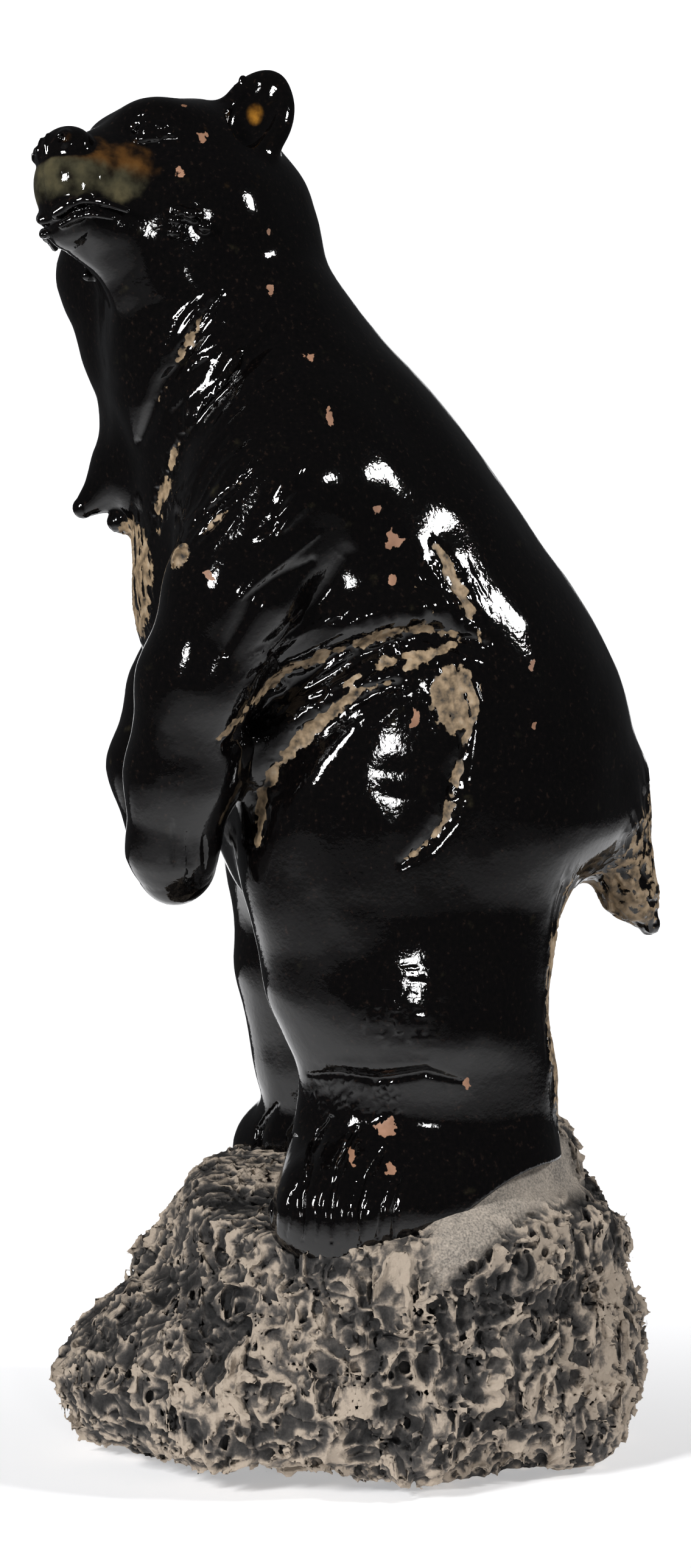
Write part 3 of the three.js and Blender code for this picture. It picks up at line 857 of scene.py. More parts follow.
@dataclass(frozen=True)
class Head:
    """Skull, muzzle, nose, lips, eyes and ears, placed as (side, back, up) from the head's middle.

    Attributes:
        at: the head's middle in clay coordinates.
        turned: its yaw, pitch and roll in degrees.
        skull, cheeks, nose, brow, socket, eyeball: place and radii of eggs.
        nostril_rim, nostril, ear, ear_cup: more eggs; the cup is placed in the ear's own frame.
        bridge, lip, jaw, lip_cleft: limbs as start, end and radii.
        muzzle_width: how much wider than tall the lip and the jaw are.
        ear_turned: yaw and roll of the left ear in degrees.
        ear_beads: how many beads its front rim has.
        bead_span: lowest bead and height of the row of beads, from the ear's middle.
        nose_ridge, lip_line, upper_lip, lower_lip: cords and creases of the left side.
        eye_folds: folds of the left lids.
        cheek_bumps: place and size of the bumps on the left cheek.
        warm_stroke: (back, up) ends of the warm brush stroke on the muzzle.
    """

    at: Place = (8.0, -76.0, 646.0)
    turned: Place = (30, -12, -14)
    skull: Egg = ((0, -2, -1), (42, 45, 38))
    cheeks: Egg = ((0, -4, -26), (48, 42, 36))
    bridge: Limb = ((0, -34, -2), (0, -72, -17), (24, 13))
    lip: Limb = ((0, -30, -20), (0, -69, -26), (29, 19))
    jaw: Limb = ((0, -22, -40), (0, -69, -43), (25, 13.5))
    muzzle_width: float = 1.15
    nose: Egg = ((0, -77, -9.5), (18.5, 12.5, 12.6))
    lip_cleft: Limb = ((0, -91, -22), (0, -87.5, -35), (1.2, 1.0))
    nostril_rim: Egg = ((12, -84.4, -8), (4.8, 3.2, 4.6))
    nostril: Egg = ((12.8, -88.5, -8), (2.8, 4.5, 2.8))
    brow: Egg = ((16, -34, 13.5), (16, 16, 9))
    socket: Egg = ((29, -50, 2), (7.5, 6, 5.6))
    eyeball: Egg = ((25, -45, 2.5), (4.8, 4.8, 4.4))
    ear: Egg = ((33, 10.5, 20), (19.2, 9, 30))
    ear_turned: tuple[float, float] = (52, 22)
    ear_cup: Egg = ((0.6, -10.2, 3.5), (12.6, 8.6, 22.0))
    ear_beads: int = 7
    bead_span: tuple[float, float] = (-12, 30)
    nose_ridge: Path = ((3, -88.3, -4), (3.3, -89.4, -9.5), (3.4, -88.6, -14))
    lip_line: Path = (
        (0, -83, -48.5),
        (8, -81, -46.5),
        (14, -78, -43),
        (18, -74, -41.5),
        (24, -67, -43),
        (29, -57, -46),
        (34, -49, -50),
    )
    upper_lip: Path = (
        (6, -84, -44),
        (13, -80, -40),
        (18, -75.5, -38.2),
        (24, -68.3, -39.7),
        (30, -58, -43),
    )
    lower_lip: Path = ((8, -81.5, -50), (15, -77, -46.5), (20, -72, -45.5), (26, -63.5, -47))
    eye_folds: Sequence[Path] = (
        ((17, -50, 4), (22, -49.4, 7), (27, -46.5, 7.5), (32, -40, 5)),
        ((18, -51.5, 1), (24, -49.8, -2), (30, -43, -1)),
        ((19, -49, 11), (26, -44.5, 12), (32, -37, 9)),
        ((31, -41, 1), (33, -36, 2), (34, -31, 1)),
    )
    cheek_bumps: Path = (
        (37, -33, -39, 2.6),
        (38, -36, -45, 2.2),
        (40, -27, -40, 2.4),
        (38, -36, -51, 2.4),
        (43, -22, -46, 2.6),
        (34, -35, -9, 1.8),
        (36, -31, -16, 1.6),
    )
    warm_stroke: Path = ((-84, -24), (-58, -20))

    @cached_property
    def axes(self) -> np.ndarray:
        """The head's side, back and up directions as columns."""
        return turn(*self.turned)

    def place(self, side: float, back: float, up: float) -> Points:
        """Clay position of a place on the head."""
        return np.array(self.at) + self.axes @ np.array((side, back, up), float)

    def egg(self, clay: Clay, shape: Egg, k: float, side: int = 1, cut: bool = False) -> None:
        """Adds or cuts an egg on one side of the head."""
        (across, back, up), radii = shape
        clay.egg(self.place(side * across, back, up), radii, self.axes, k, cut)

    def limb(self, clay: Clay, shape: Limb, k: float, wide: float = 1, cut: bool = False) -> None:
        """Adds or cuts a limb along the middle of the head.

        Args:
            clay: the clay to work on.
            shape: start, end and radii.
            k: width over which the surfaces blend, in mm.
            wide: how much wider than thick it is.
            cut: whether to cut instead of add.
        """
        start, end, radii = shape
        across = self.axes[:, 0] if wide != 1 else (1, 0, 0)
        clay.limb(self.place(*start), self.place(*end), radii, k, wide, across, cut)

    def run(self, clay: Clay, side: int, places: Path, radius: float, k: float, cut: bool = False) -> None:
        """Rolls a thin cord of clay, or presses a thin line, through places on one side of the head.

        Args:
            clay: the clay to work on.
            side: 1 for the left side, -1 for the right.
            places: places on the head, given for its left side.
            radius: thickness in mm.
            k: width over which the surfaces blend, in mm.
            cut: whether to cut instead of add.
        """
        spots = [self.place(side * across, back, up) for across, back, up in places]
        for a, b in zip(spots[:-1], spots[1:]):
            clay.limb(a, b, (radius, radius), k, cut=cut)

    def model(self, clay: Clay) -> None:
        """Puts the whole head on the clay.

        Args:
            clay: the clay to work on.
        """
        self.egg(clay, self.skull, JOINT)
        self.egg(clay, self.cheeks, JOINT)
        self.limb(clay, self.bridge, JOINT)
        self.limb(clay, self.lip, JOINT, self.muzzle_width)
        self.limb(clay, self.jaw, 9, self.muzzle_width)
        self.egg(clay, self.nose, 2)
        self.limb(clay, self.lip_cleft, 2.5, cut=True)
        for side in (1, -1):
            self.model_eye(clay, side)
            self.model_ear(clay, side)
            self.egg(clay, self.nostril_rim, 1.5, side)
            self.egg(clay, self.nostril, 1, side, cut=True)
            self.run(clay, side, self.nose_ridge, 1.0, 1.5)
            self.run(clay, side, self.lip_line, 1.4, 2.5, cut=True)
            self.run(clay, side, self.upper_lip, 1.7, 3)
            self.run(clay, side, self.lower_lip, 1.5, 3)
            for across, back, up, size in self.cheek_bumps:
                self.egg(clay, ((across, back, up), (size, 1.4 * size, size)), 2.5, side)

    def model_eye(self, clay: Clay, side: int) -> None:
        """Brow, socket, eyeball and heavy lids.

        Args:
            clay: the clay to work on.
            side: 1 for the left side, -1 for the right.
        """
        self.egg(clay, self.brow, JOINT, side)
        self.egg(clay, self.socket, 6, side, cut=True)
        self.egg(clay, self.eyeball, 1, side)
        for lid in self.eye_folds:
            self.run(clay, side, lid, 1.4, 1.8)

    def model_ear(self, clay: Clay, side: int) -> None:
        """A cupped ear, taller than wide, with a knobbly front rim.

        Args:
            clay: the clay to work on.
            side: 1 for the left side, -1 for the right.
        """
        (across, back, up), (half_wide, thick, half_tall) = self.ear
        yaw, roll = self.ear_turned
        axes = self.axes @ turn(yaw=yaw * side, roll=roll * side)
        middle = self.place(side * across, back, up)
        clay.egg(middle, self.ear[1], axes, SOFT)
        (cup_across, cup_back, cup_up), cup_radii = self.ear_cup
        cup_middle = middle + axes @ np.array((side * cup_across, cup_back, cup_up))
        clay.egg(cup_middle, cup_radii, axes, 2.2, cut=True)
        lowest, span = self.bead_span
        for step in range(self.ear_beads):
            bead_up = lowest + span * step / (self.ear_beads - 1)
            out = -0.84 * half_wide * math.sqrt(1 - (bead_up / half_tall) ** 2)
            size = 1.7 + 0.5 * math.sin(2.4 * step)
            spot = middle + axes @ np.array((side * out, -0.45 * thick, bead_up))
            clay.egg(spot, (size, size, 1.3 * size), axes, 1.8)

    def paint(self, clay: Clay) -> None:
        """Warm and olive muzzle, and the amber spots in the ears.

        Args:
            clay: the clay to work on.
        """
        local = (clay.points - np.array(self.at)) @ self.axes
        side, back, up = np.abs(local[:, 0]), local[:, 1], local[:, 2]
        gap, _ = nearest_on(np.array(self.warm_stroke, float), local[:, 1:])
        (_, nose_back, nose_up), (wide, deep, tall) = self.nose
        nose = np.sqrt((side / wide) ** 2 + ((back - nose_back) / deep) ** 2 + ((up - nose_up) / tall) ** 2)
        beside_nose = ease((nose - 1.06) / 0.12)
        clay.paint[Paint.WARM] = ease((23 - gap) / 18) * ease((up + 42) / 8) * beside_nose
        clay.paint[Paint.OLIVE] = ease(0.5 - (up + 19 + 0.17 * (back + 68)) / 12)
        spot = np.sqrt(((side - 37) / 5) ** 2 + ((back - 9) / 6) ** 2 + ((up - 24) / 8) ** 2)
        clay.paint[Paint.AMBER] = ease(1.2 - spot)


# ---- The rock ----


def thin(crests: Points, share: float) -> Points:
    """Keeps only the sharpest share of ridged noise, as narrow crests from 0 to 1."""
    return np.clip((crests - 1 + share) / share, 0, 1) ** 1.4


@dataclass(frozen=True)
class Rock:
    """The stained rock base that the bear's feet are bedded in.

    Attributes:
        sections: oval sections (z, x, y, half width, half depth), from the bottom up.
        lumps: how many lumps it is built from.
        lump_heights: height of the lowest one and how far up they go.
        front: height of the top under the left toes.
        right_rise, heel_rise: how far the top climbs to the right side and behind the heels.
        undercut: how far the underside hollows up under the left front quarter.
        stretch: squeezes the texture's space so that its features stand taller than wide.
        cell: size of the lattice's cells in mm.
    """

    sections: Path = (
        (0, 8, 6, 84, 106),
        (16, 6, -0.5, 98, 126.5),
        (35, 6, 1.5, 112, 147),
        (53, 6, 2, 114, 144),
        (72, 6, 9.5, 114, 135.5),
        (90, 6, 18.5, 114, 119.5),
        (109, 6, 27.5, 116, 113.5),
        (127, 8, 23.5, 116, 107.5),
        (145, 4, 21, 104, 97),
        (162, 0, 33, 91, 83),
        (182, 0, 40, 80, 66),
    )
    lumps: int = 46
    lump_heights: tuple[float, float] = (26, 96)
    front: float = 127
    right_rise: float = 18
    heel_rise: float = 41
    undercut: float = 16
    stretch: Place = (1.0, 1.0, 0.72)
    cell: float = 1.3

    def top(self, points: Points) -> Points:
        """Height of the rock's top over points.

        Args:
            points: places over the rock, in mm.

        Returns:
            The height at each point.
        """
        x, y, _ = points.T
        heel = ease((y - 4) / 88)
        return self.front + self.right_rise * ease((95 - x) / 110) * (1 - heel) + self.heel_rise * heel

    def underside(self, points: Points) -> Points:
        """Height of the rock's underside over points."""
        x, y, _ = points.T
        return self.undercut * ease((x - 10) / 60) * ease((48 - y) / 85)

    def model_lumps(self, clay: Clay) -> None:
        """Lumps spread evenly round the rock, each turned its own way.

        Args:
            clay: the clay to work on.
        """
        stations = np.array(self.sections, float).T
        golden_angle = math.pi * (3 - math.sqrt(5))
        lowest, span = self.lump_heights
        for index in range(self.lumps):
            z = lowest + span * (index + 0.5) / self.lumps
            x, y, wide, deep = (float(curve(np.array([z]), stations[0], row)[0]) for row in stations[1:])
            angle = index * golden_angle
            at = (x + 0.89 * wide * math.sin(angle), y - 0.89 * deep * math.cos(angle), z)
            size = 14 + 14 * (0.5 + 0.5 * math.sin(2.3 * index))
            radii = (
                size * (1.35 + 0.35 * math.sin(3.7 * index)),
                size * 0.65,
                size * (0.9 + 0.3 * math.sin(5.1 * index)),
            )
            axes = turn(yaw=math.degrees(angle), roll=60 * math.sin(1.9 * index))
            clay.egg(at, radii, axes, SOFT)

    def relief(self, points: Points) -> tuple[Points, Points, Points]:
        """Height of the torn clay over the lumps, how clean its crests are, and where it is smooth.

        Args:
            points: places near the surface, in mm.

        Returns:
            The three amounts at each point.
        """
        x, y, _ = points.T
        top = self.top(points)
        shelf = ease((points[:, 2] - top + 14) / 8)
        smooth = ease((points[:, 2] - top + 34) / 10) * ease((y - 24) / 14) * ease((x - 20) / 30)
        bend = np.stack([noise(points / 11, seed) for seed in (1, 2, 3)], 1)
        warped = (points + 5.0 * bend) * np.array(self.stretch)
        crests = ridges(warped / 10, 4)
        worms = ridges(warped / 4.8 + 9, 5)
        away, number = pits(warped / 9, 6)
        radius = 0.2 + 0.16 * number
        pitted = number > 0.3
        hole = ease((radius - away) / 0.13) * pitted
        rim = np.exp(-(((away - radius - 0.07) / 0.08) ** 2)) * pitted
        relief = 3.4 * (crests - 0.66) + 2.6 * thin(crests, 0.2)
        relief += 1.7 * (worms - 0.6) + 1.1 * thin(worms, 0.25)
        broad = ridges(warped / 23, 13)
        seam = thin(ridges(warped / 15 + 4, 15), 0.07)
        gouge = thin(ridges(warped / 19 + 7, 17), 0.09)
        relief += 1.1 * rim - 3.2 * hole + 1.8 * noise(points / 21, 7) + 0.3 * noise(points / 2.4, 8)
        relief += 4.2 * (broad - 0.62) + 0.8 * seam - 2.6 * gouge
        clean = 0.25 + 0.55 * thin(crests, 0.2) + 0.38 * thin(worms, 0.26) + 0.32 * rim - 0.3 * hole
        clean += 0.24 * thin(broad, 0.3) + 0.3 * seam - 0.3 * gouge + 0.24 * noise(points / 38, 12)
        relief *= 1 - 0.5 * shelf
        return relief * (1 - 0.86 * smooth) + 0.6 * smooth, clean, smooth

    def model(self, points: Points, painted: bool = False) -> Clay:
        """The rock as clay around points, with its painted layers if they are wanted.

        Args:
            points: places in mm, as one row for each.
            painted: whether the painted layers are wanted too.

        Returns:
            The clay.
        """
        clay = Clay(points, painted)
        clay.column(self.sections)
        self.model_lumps(clay)
        clay.distance = -flow(-clay.distance, 0.8 * (self.top(points) - points[:, 2]), 9)
        clay.distance = -flow(-clay.distance, 0.85 * (points[:, 2] - self.underside(points)), SOFT)
        near = np.nonzero(np.abs(clay.distance) < 14)[0]
        relief, clean, smooth = self.relief(points[near])
        fade = ease((points[near, 2] + 2) / 10)
        clay.distance[near] -= relief * fade
        clay.distance = np.maximum(clay.distance, -points[:, 2])
        if painted:
            clay.paint[Paint.CLEAN][near] = np.clip(clean, 0, 1)
            clay.paint[Paint.SMOOTH][near] = smooth
        return clay

    def build(self, coarseness: float) -> Piece:
        """Makes the rock's mesh with cells coarseness times the finest size."""
        lattice = Lattice(-6, 186, 136, 170, self.cell * coarseness)
        return Piece("rock_base", sculpt("rock_stained", self.model, lattice, TRIANGLE_BUDGET), Slot.CLAY)


# ---- The bear ----


@dataclass(frozen=True)
class Plug:
    """The round plug on the near shoulder: a low boss with a shallow recess.

    Attributes:
        at: middle of the recess.
        yaw: which way it faces, in degrees.
        radius: of the recess.
    """

    at: Place = (103.0, -87.0, 457.0)
    yaw: float = -42
    radius: float = 6.4

    @cached_property
    def axes(self) -> np.ndarray:
        """The plug's own directions as columns; the first points out of the shoulder."""
        return turn(yaw=self.yaw)

    def model(self, clay: Clay) -> None:
        """Adds the boss and cuts the recess.

        Args:
            clay: the clay to work on.
        """
        boss = (9, self.radius + 2, self.radius + 2)
        clay.egg(np.array(self.at) - 5.5 * self.axes[:, 0], boss, self.axes, 2)
        clay.egg(np.array(self.at), (3.4, self.radius, self.radius), self.axes, 0.8, cut=True)

    def paint(self, clay: Clay) -> None:
        """Leaves the recess bare.

        Args:
            clay: the clay to work on.
        """
        away = np.linalg.norm(clay.points - np.array(self.at) + 3 * self.axes[:, 0], axis=1)
        bare = clay.paint[Paint.BARE]
        np.maximum(bare, 1.5 * ease((self.radius + 2.2 - away) / 1.2), out=bare)


@dataclass(frozen=True)
class Bear:
    """The glazed bear. Chains are balls (x, y, z, radius); sections are (z, x, y, half width, half depth).

    Attributes:
        rock: the rock it stands on.
        head: its head.
        plug: the plug on its left shoulder.
        right_step: y offset of the right leg from the left one.
        shoulder, thigh: place and radii of the eggs on the left side.
        shoulder_pitch: how far the shoulders lean, in degrees.
        nape, tuft_tip: place and radii of single eggs.
        chest_nick: the nick in the throat's edge, as start, end and radii.
        tail_width: how much wider than thick the tail is.
        sole_depth: how far the feet are bedded in the rock.
        cell: size of the lattice's cells in mm.
        trunk, leg: oval sections, from the bottom up; the leg is the left one.
        left_foot, right_foot, right_shin, left_arm, right_arm, tail: chains of the limbs.
        throat, throat_ridge, far_ruff, tuft: chains of the throat and of the fur in front.
    """

    rock: Rock = Rock()
    head: Head = Head()
    plug: Plug = Plug()
    right_step: float = -7
    shoulder: Egg = ((70, -32, 480), (30, 48, 62))
    shoulder_pitch: float = 22
    thigh: Egg = ((57, 0, 330), (46, 55, 92))
    nape: Egg = ((-2, -53, 620), (41, 36, 42))
    tuft_tip: Egg = ((-3, -112, 474), (6, 8, 6))
    chest_nick: Limb = ((2, -118, 567), (4, -113, 557), (2.4, 2.0))
    tail_width: float = 1.5
    sole_depth: float = 9
    cell: float = 1.55
    trunk: Path = (
        (250, 0, 30, 36, 36),
        (262, 0, 30, 66, 62),
        (285, 0, 30, 88, 82),
        (311, 0, 38, 98, 103),
        (349, 0, 34.5, 102, 113.5),
        (386, 0, 24, 103, 118),
        (423, 0, 10, 100, 116),
        (461, 0, -3.5, 95, 104),
        (497, 0, -17, 89, 93),
        (534, 0, -33, 81, 81),
        (571, 0, -53, 69, 67),
        (600, 2, -66, 59, 58),
        (628, 5, -70, 49, 50),
        (650, 6, -68, 34, 36),
        (662, 6, -68, 12, 14),
    )
    leg: Path = (
        (110, 61, 28, 42, 58),
        (150, 58, 31, 46, 67),
        (178, 56, 35, 43, 65),
        (205, 57, 35, 44, 64),
        (222, 58, 30, 48.5, 66),
        (240, 58, 25.5, 49, 69.5),
        (270, 55, 26.5, 48.5, 72.5),
        (300, 54, 28, 46, 77),
        (340, 52, 34, 48, 74),
    )
    left_foot: Path = ((60, 64, 146, 37), (82, 6, 140, 36), (88, -12, 138, 34))
    right_foot: Path = ((-62, 54, 151, 35), (-74, 2, 145, 32), (-80, -24, 141, 29))
    right_shin: Path = ((-56, -11, 234, 37), (-58, -8, 200, 36))
    left_arm: Path = (
        (80, -38, 484, 38),
        (89, -60, 440, 35),
        (88, -77, 398, 31),
        (80, -87, 352, 27),
        (72, -91, 316, 22),
        (67, -89, 305, 18),
    )
    right_arm: Path = (
        (-80, -34, 484, 38),
        (-88, -54, 430, 34),
        (-80, -78, 385, 29),
        (-60, -92, 346, 26),
        (-52, -91, 314, 19),
    )
    tail: Path = ((0, 126, 338, 27), (0, 146, 284, 13), (0, 156, 268, 5))
    throat: Path = ((36, -108, 614, 22), (34, -90, 594, 26), (20, -75, 558, 42), (18, -72, 548, 45))
    throat_ridge: Path = (
        (50, -132, 613, 8),
        (48, -116, 602, 9),
        (44, -108, 588, 10),
        (34, -103, 568, 11),
        (24, -101, 550, 11),
        (14, -101, 530, 12),
        (4, -104, 510, 13),
    )
    far_ruff: Path = (
        (-22, -105, 624, 29),
        (-29, -110, 598, 33),
        (-22, -104, 564, 27),
        (-12, -94, 525, 26),
        (-10, -101, 503, 26),
    )
    tuft: Path = ((-10, -105, 502, 21), (-10, -132, 481, 5))

    def model_masses(self, clay: Clay) -> None:
        """Trunk, limbs, ruff, tail, head and throat.

        Args:
            clay: the clay to work on.
        """
        clay.column(self.trunk)
        (shoulder_x, *shoulder_yz), shoulder_radii = self.shoulder
        (thigh_x, *thigh_yz), thigh_radii = self.thigh
        for side in (1, -1):
            tilt = turn(pitch=self.shoulder_pitch)
            clay.egg((side * shoulder_x, *shoulder_yz), shoulder_radii, tilt, SLEEVE)
            clay.column(self.leg, JOINT, side, 0 if side > 0 else self.right_step)
            clay.egg((side * thigh_x, *thigh_yz), thigh_radii, k=20)
        clay.egg(*self.nape, k=JOINT)
        clay.chain(self.far_ruff, JOINT, 9)
        clay.chain(self.tuft)
        clay.egg(*self.tuft_tip, k=4)
        clay.chain(self.right_shin, JOINT)
        clay.chain(self.left_foot, JOINT)
        clay.chain(self.right_foot, JOINT)
        clay.chain(self.tail, JOINT, 3, wide=self.tail_width)
        clay.chain(self.left_arm, JOINT, SOFT)
        clay.chain(self.right_arm, JOINT, SOFT)
        self.head.model(clay)
        clay.chain(self.throat, 16, 12)
        clay.chain(self.throat_ridge)
        clay.limb(*self.chest_nick, 2, cut=True)

    def model(self, points: Points, painted: bool = False) -> Clay:
        """The bear as clay around points: masses, then folds and fur, then the bed of the feet.

        Args:
            points: where the clay's distance is wanted, in mm.
            painted: whether the painted layers are wanted too.

        Returns:
            The clay.
        """
        clay = Clay(points, painted)
        self.model_masses(clay)
        for shape in FOLDS + CHEST_STROKES + TOE_GROOVES + FAR_GROOVES:
            clay.groove(shape)
        for shape in TAIL_GRAINS + FUR_GRAINS:
            clay.grain(shape)
        near = np.nonzero(np.abs(clay.distance) < 10)[0]
        spots = clay.points[near]
        clay.distance[near] += 0.7 * noise(spots / 24, 1) + 0.16 * noise(spots / 9, 2)
        self.plug.model(clay)
        sole = clay.points[:, 2] - self.rock.top(clay.points) + self.sole_depth
        clay.distance = -flow(-clay.distance, sole, 2)
        if painted:
            self.head.paint(clay)
            self.chip(clay)
            self.plug.paint(clay)
        return clay

    def chip(self, clay: Clay) -> None:
        """Marks the chips in the glaze of the left side.

        Args:
            clay: the clay to work on.
        """
        x, y, z = clay.points.T
        chips = np.zeros(len(x))
        for chip_y, chip_z, half_y, half_z in CHIPS:
            close = np.nonzero((np.abs(y - chip_y) < 14) & (np.abs(z - chip_z) < 14) & (x > 20))[0]
            away = np.hypot((y[close] - chip_y) / half_y, (z[close] - chip_z) / half_z)
            chips[close] = np.maximum(chips[close], np.clip(1.15 - 0.75 * away, 0, 1))
        clay.paint[Paint.CHIP] = chips

    def build(self, coarseness: float) -> Piece:
        """Makes the bear's mesh with cells coarseness times the finest size, finer still at the head.

        Args:
            coarseness: cell size as a multiple of the finest.

        Returns:
            The piece.
        """
        stations = np.array(self.trunk, float).T

        def share(z: Points) -> Points:
            """Cell size at height z, as a share of the size at the feet."""
            return 1 - 0.34 * ease((z - 545) / 45)

        def centre_y(z: Points) -> Points:
            """y of the trunk's middle at height z."""
            return curve(z, stations[0], stations[2])

        lattice = Lattice(100, 705, 140, 172, self.cell * coarseness, share, centre_y)
        return Piece("bear", sculpt("bear_glazed", self.model, lattice, TRIANGLE_BUDGET), Slot.GLAZE)


# ---- Finishes ----

Socket = bpy.types.NodeSocket


@dataclass
class Finish:
    """A node material being built; its methods add nodes and return their outputs."""

    name: str
    tree: bpy.types.NodeTree = field(init=False)
    material: bpy.types.Material = field(init=False)

    def __post_init__(self) -> None:
        """Makes the material with one Principled shader."""
        self.material = bpy.data.materials.new(self.name)
        self.material.use_nodes = True
        self.tree = self.material.node_tree
        self.shader = self.tree.nodes["Principled BSDF"]

    def add(self, kind: str, **settings) -> bpy.types.Node:
        """A new node with its properties set.

        Args:
            kind: the node's type name.
            settings: its properties.

        Returns:
            The node.
        """
        node = self.tree.nodes.new(kind)
        for key, value in settings.items():
            setattr(node, key, value)
        return node

    def link(self, source: Socket, target: Socket) -> None:
        """Joins two sockets."""
        self.tree.links.new(source, target)

    def layer(self, paint: Paint) -> Socket:
        """The amount of a painted layer."""
        return self.add("ShaderNodeAttribute", attribute_name=paint.value).outputs["Fac"]

    def speckle(self, size: float, detail: float = 3) -> Socket:
        """Noise with features of about size metres.

        Args:
            size: size of the features in metres.
            detail: how many finer octaves it has.

        Returns:
            The noise.
        """
        place = self.add("ShaderNodeTexCoord").outputs["Object"]
        texture = self.add("ShaderNodeTexNoise")
        texture.inputs["Scale"].default_value = 1 / size
        texture.inputs["Detail"].default_value = detail
        self.link(place, texture.inputs["Vector"])
        return texture.outputs["Fac"]

    def math(self, operation: str, a: Socket, b: Socket) -> Socket:
        """One arithmetic step.

        Args:
            operation: the operation's name.
            a: first number.
            b: second number.

        Returns:
            The result.
        """
        node = self.add("ShaderNodeMath", operation=operation)
        self.link(a, node.inputs[0])
        self.link(b, node.inputs[1])
        return node.outputs["Value"]

    def ramp(self, source: Socket, stops: Sequence[tuple[float, Sequence[float]]]) -> Socket:
        """Colours over a range; each stop is (place, (red, green, blue)).

        Args:
            source: the amount that picks the colour.
            stops: places and colours, from low to high.

        Returns:
            The colour.
        """
        node = self.add("ShaderNodeValToRGB")
        while len(node.color_ramp.elements) < len(stops):
            node.color_ramp.elements.new(1)
        for element, (place, colour) in zip(node.color_ramp.elements, stops):
            element.position = place
            element.color = (*colour, 1)
        self.link(source, node.inputs["Fac"])
        return node.outputs["Color"]

    def sum(self, amount: Socket, swing: Socket, weight: float) -> Socket:
        """An amount moved up and down by a noise of mean one half, times weight.

        Args:
            amount: the amount to change.
            swing: the noise.
            weight: how strongly the noise counts.

        Returns:
            The changed amount.
        """
        node = self.add("ShaderNodeMath", operation="MULTIPLY_ADD")
        self.link(swing, node.inputs[0])
        node.inputs[1].default_value = weight
        node.inputs[2].default_value = -weight / 2
        return self.math("ADD", amount, node.outputs["Value"])

    def edge(self, amount: Socket, breakup: Socket, wander: float, low: float, high: float) -> Socket:
        """A painted amount with a ragged edge between low and high.

        Args:
            amount: the amount to change.
            breakup: noise that breaks the edge up.
            wander: how far the edge wanders.
            low: amount at which it starts.
            high: amount at which it is full.

        Returns:
            The amount with its ragged edge.
        """
        total = self.sum(amount, breakup, wander)
        node = self.add("ShaderNodeMapRange", interpolation_type="SMOOTHSTEP")
        node.inputs["From Min"].default_value = low
        node.inputs["From Max"].default_value = high
        self.link(total, node.inputs["Value"])
        return node.outputs["Result"]

    def mix(self, factor: Socket, a: Socket, b: Socket) -> Socket:
        """Colour a turning into colour b.

        Args:
            factor: 0 for a, 1 for b.
            a: the first colour.
            b: the second colour.

        Returns:
            The mixed colour.
        """
        node = self.add("ShaderNodeMix", data_type="RGBA")
        self.link(factor, node.inputs["Factor"])
        self.link(a, node.inputs[6])
        self.link(b, node.inputs[7])
        return node.outputs[2]

    def bump(self, height: Socket, depth: float, before: Socket | None = None) -> Socket:
        """A surface normal roughened by height, depth metres deep.

        Args:
            height: the relief.
            depth: its depth in metres.
            before: a normal that is roughened already.

        Returns:
            The normal.
        """
        node = self.add("ShaderNodeBump")
        node.inputs["Distance"].default_value = depth
        self.link(height, node.inputs["Height"])
        if before is not None:
            self.link(before, node.inputs["Normal"])
        return node.outputs["Normal"]


Stops = Sequence[tuple[float, Sequence[float]]]


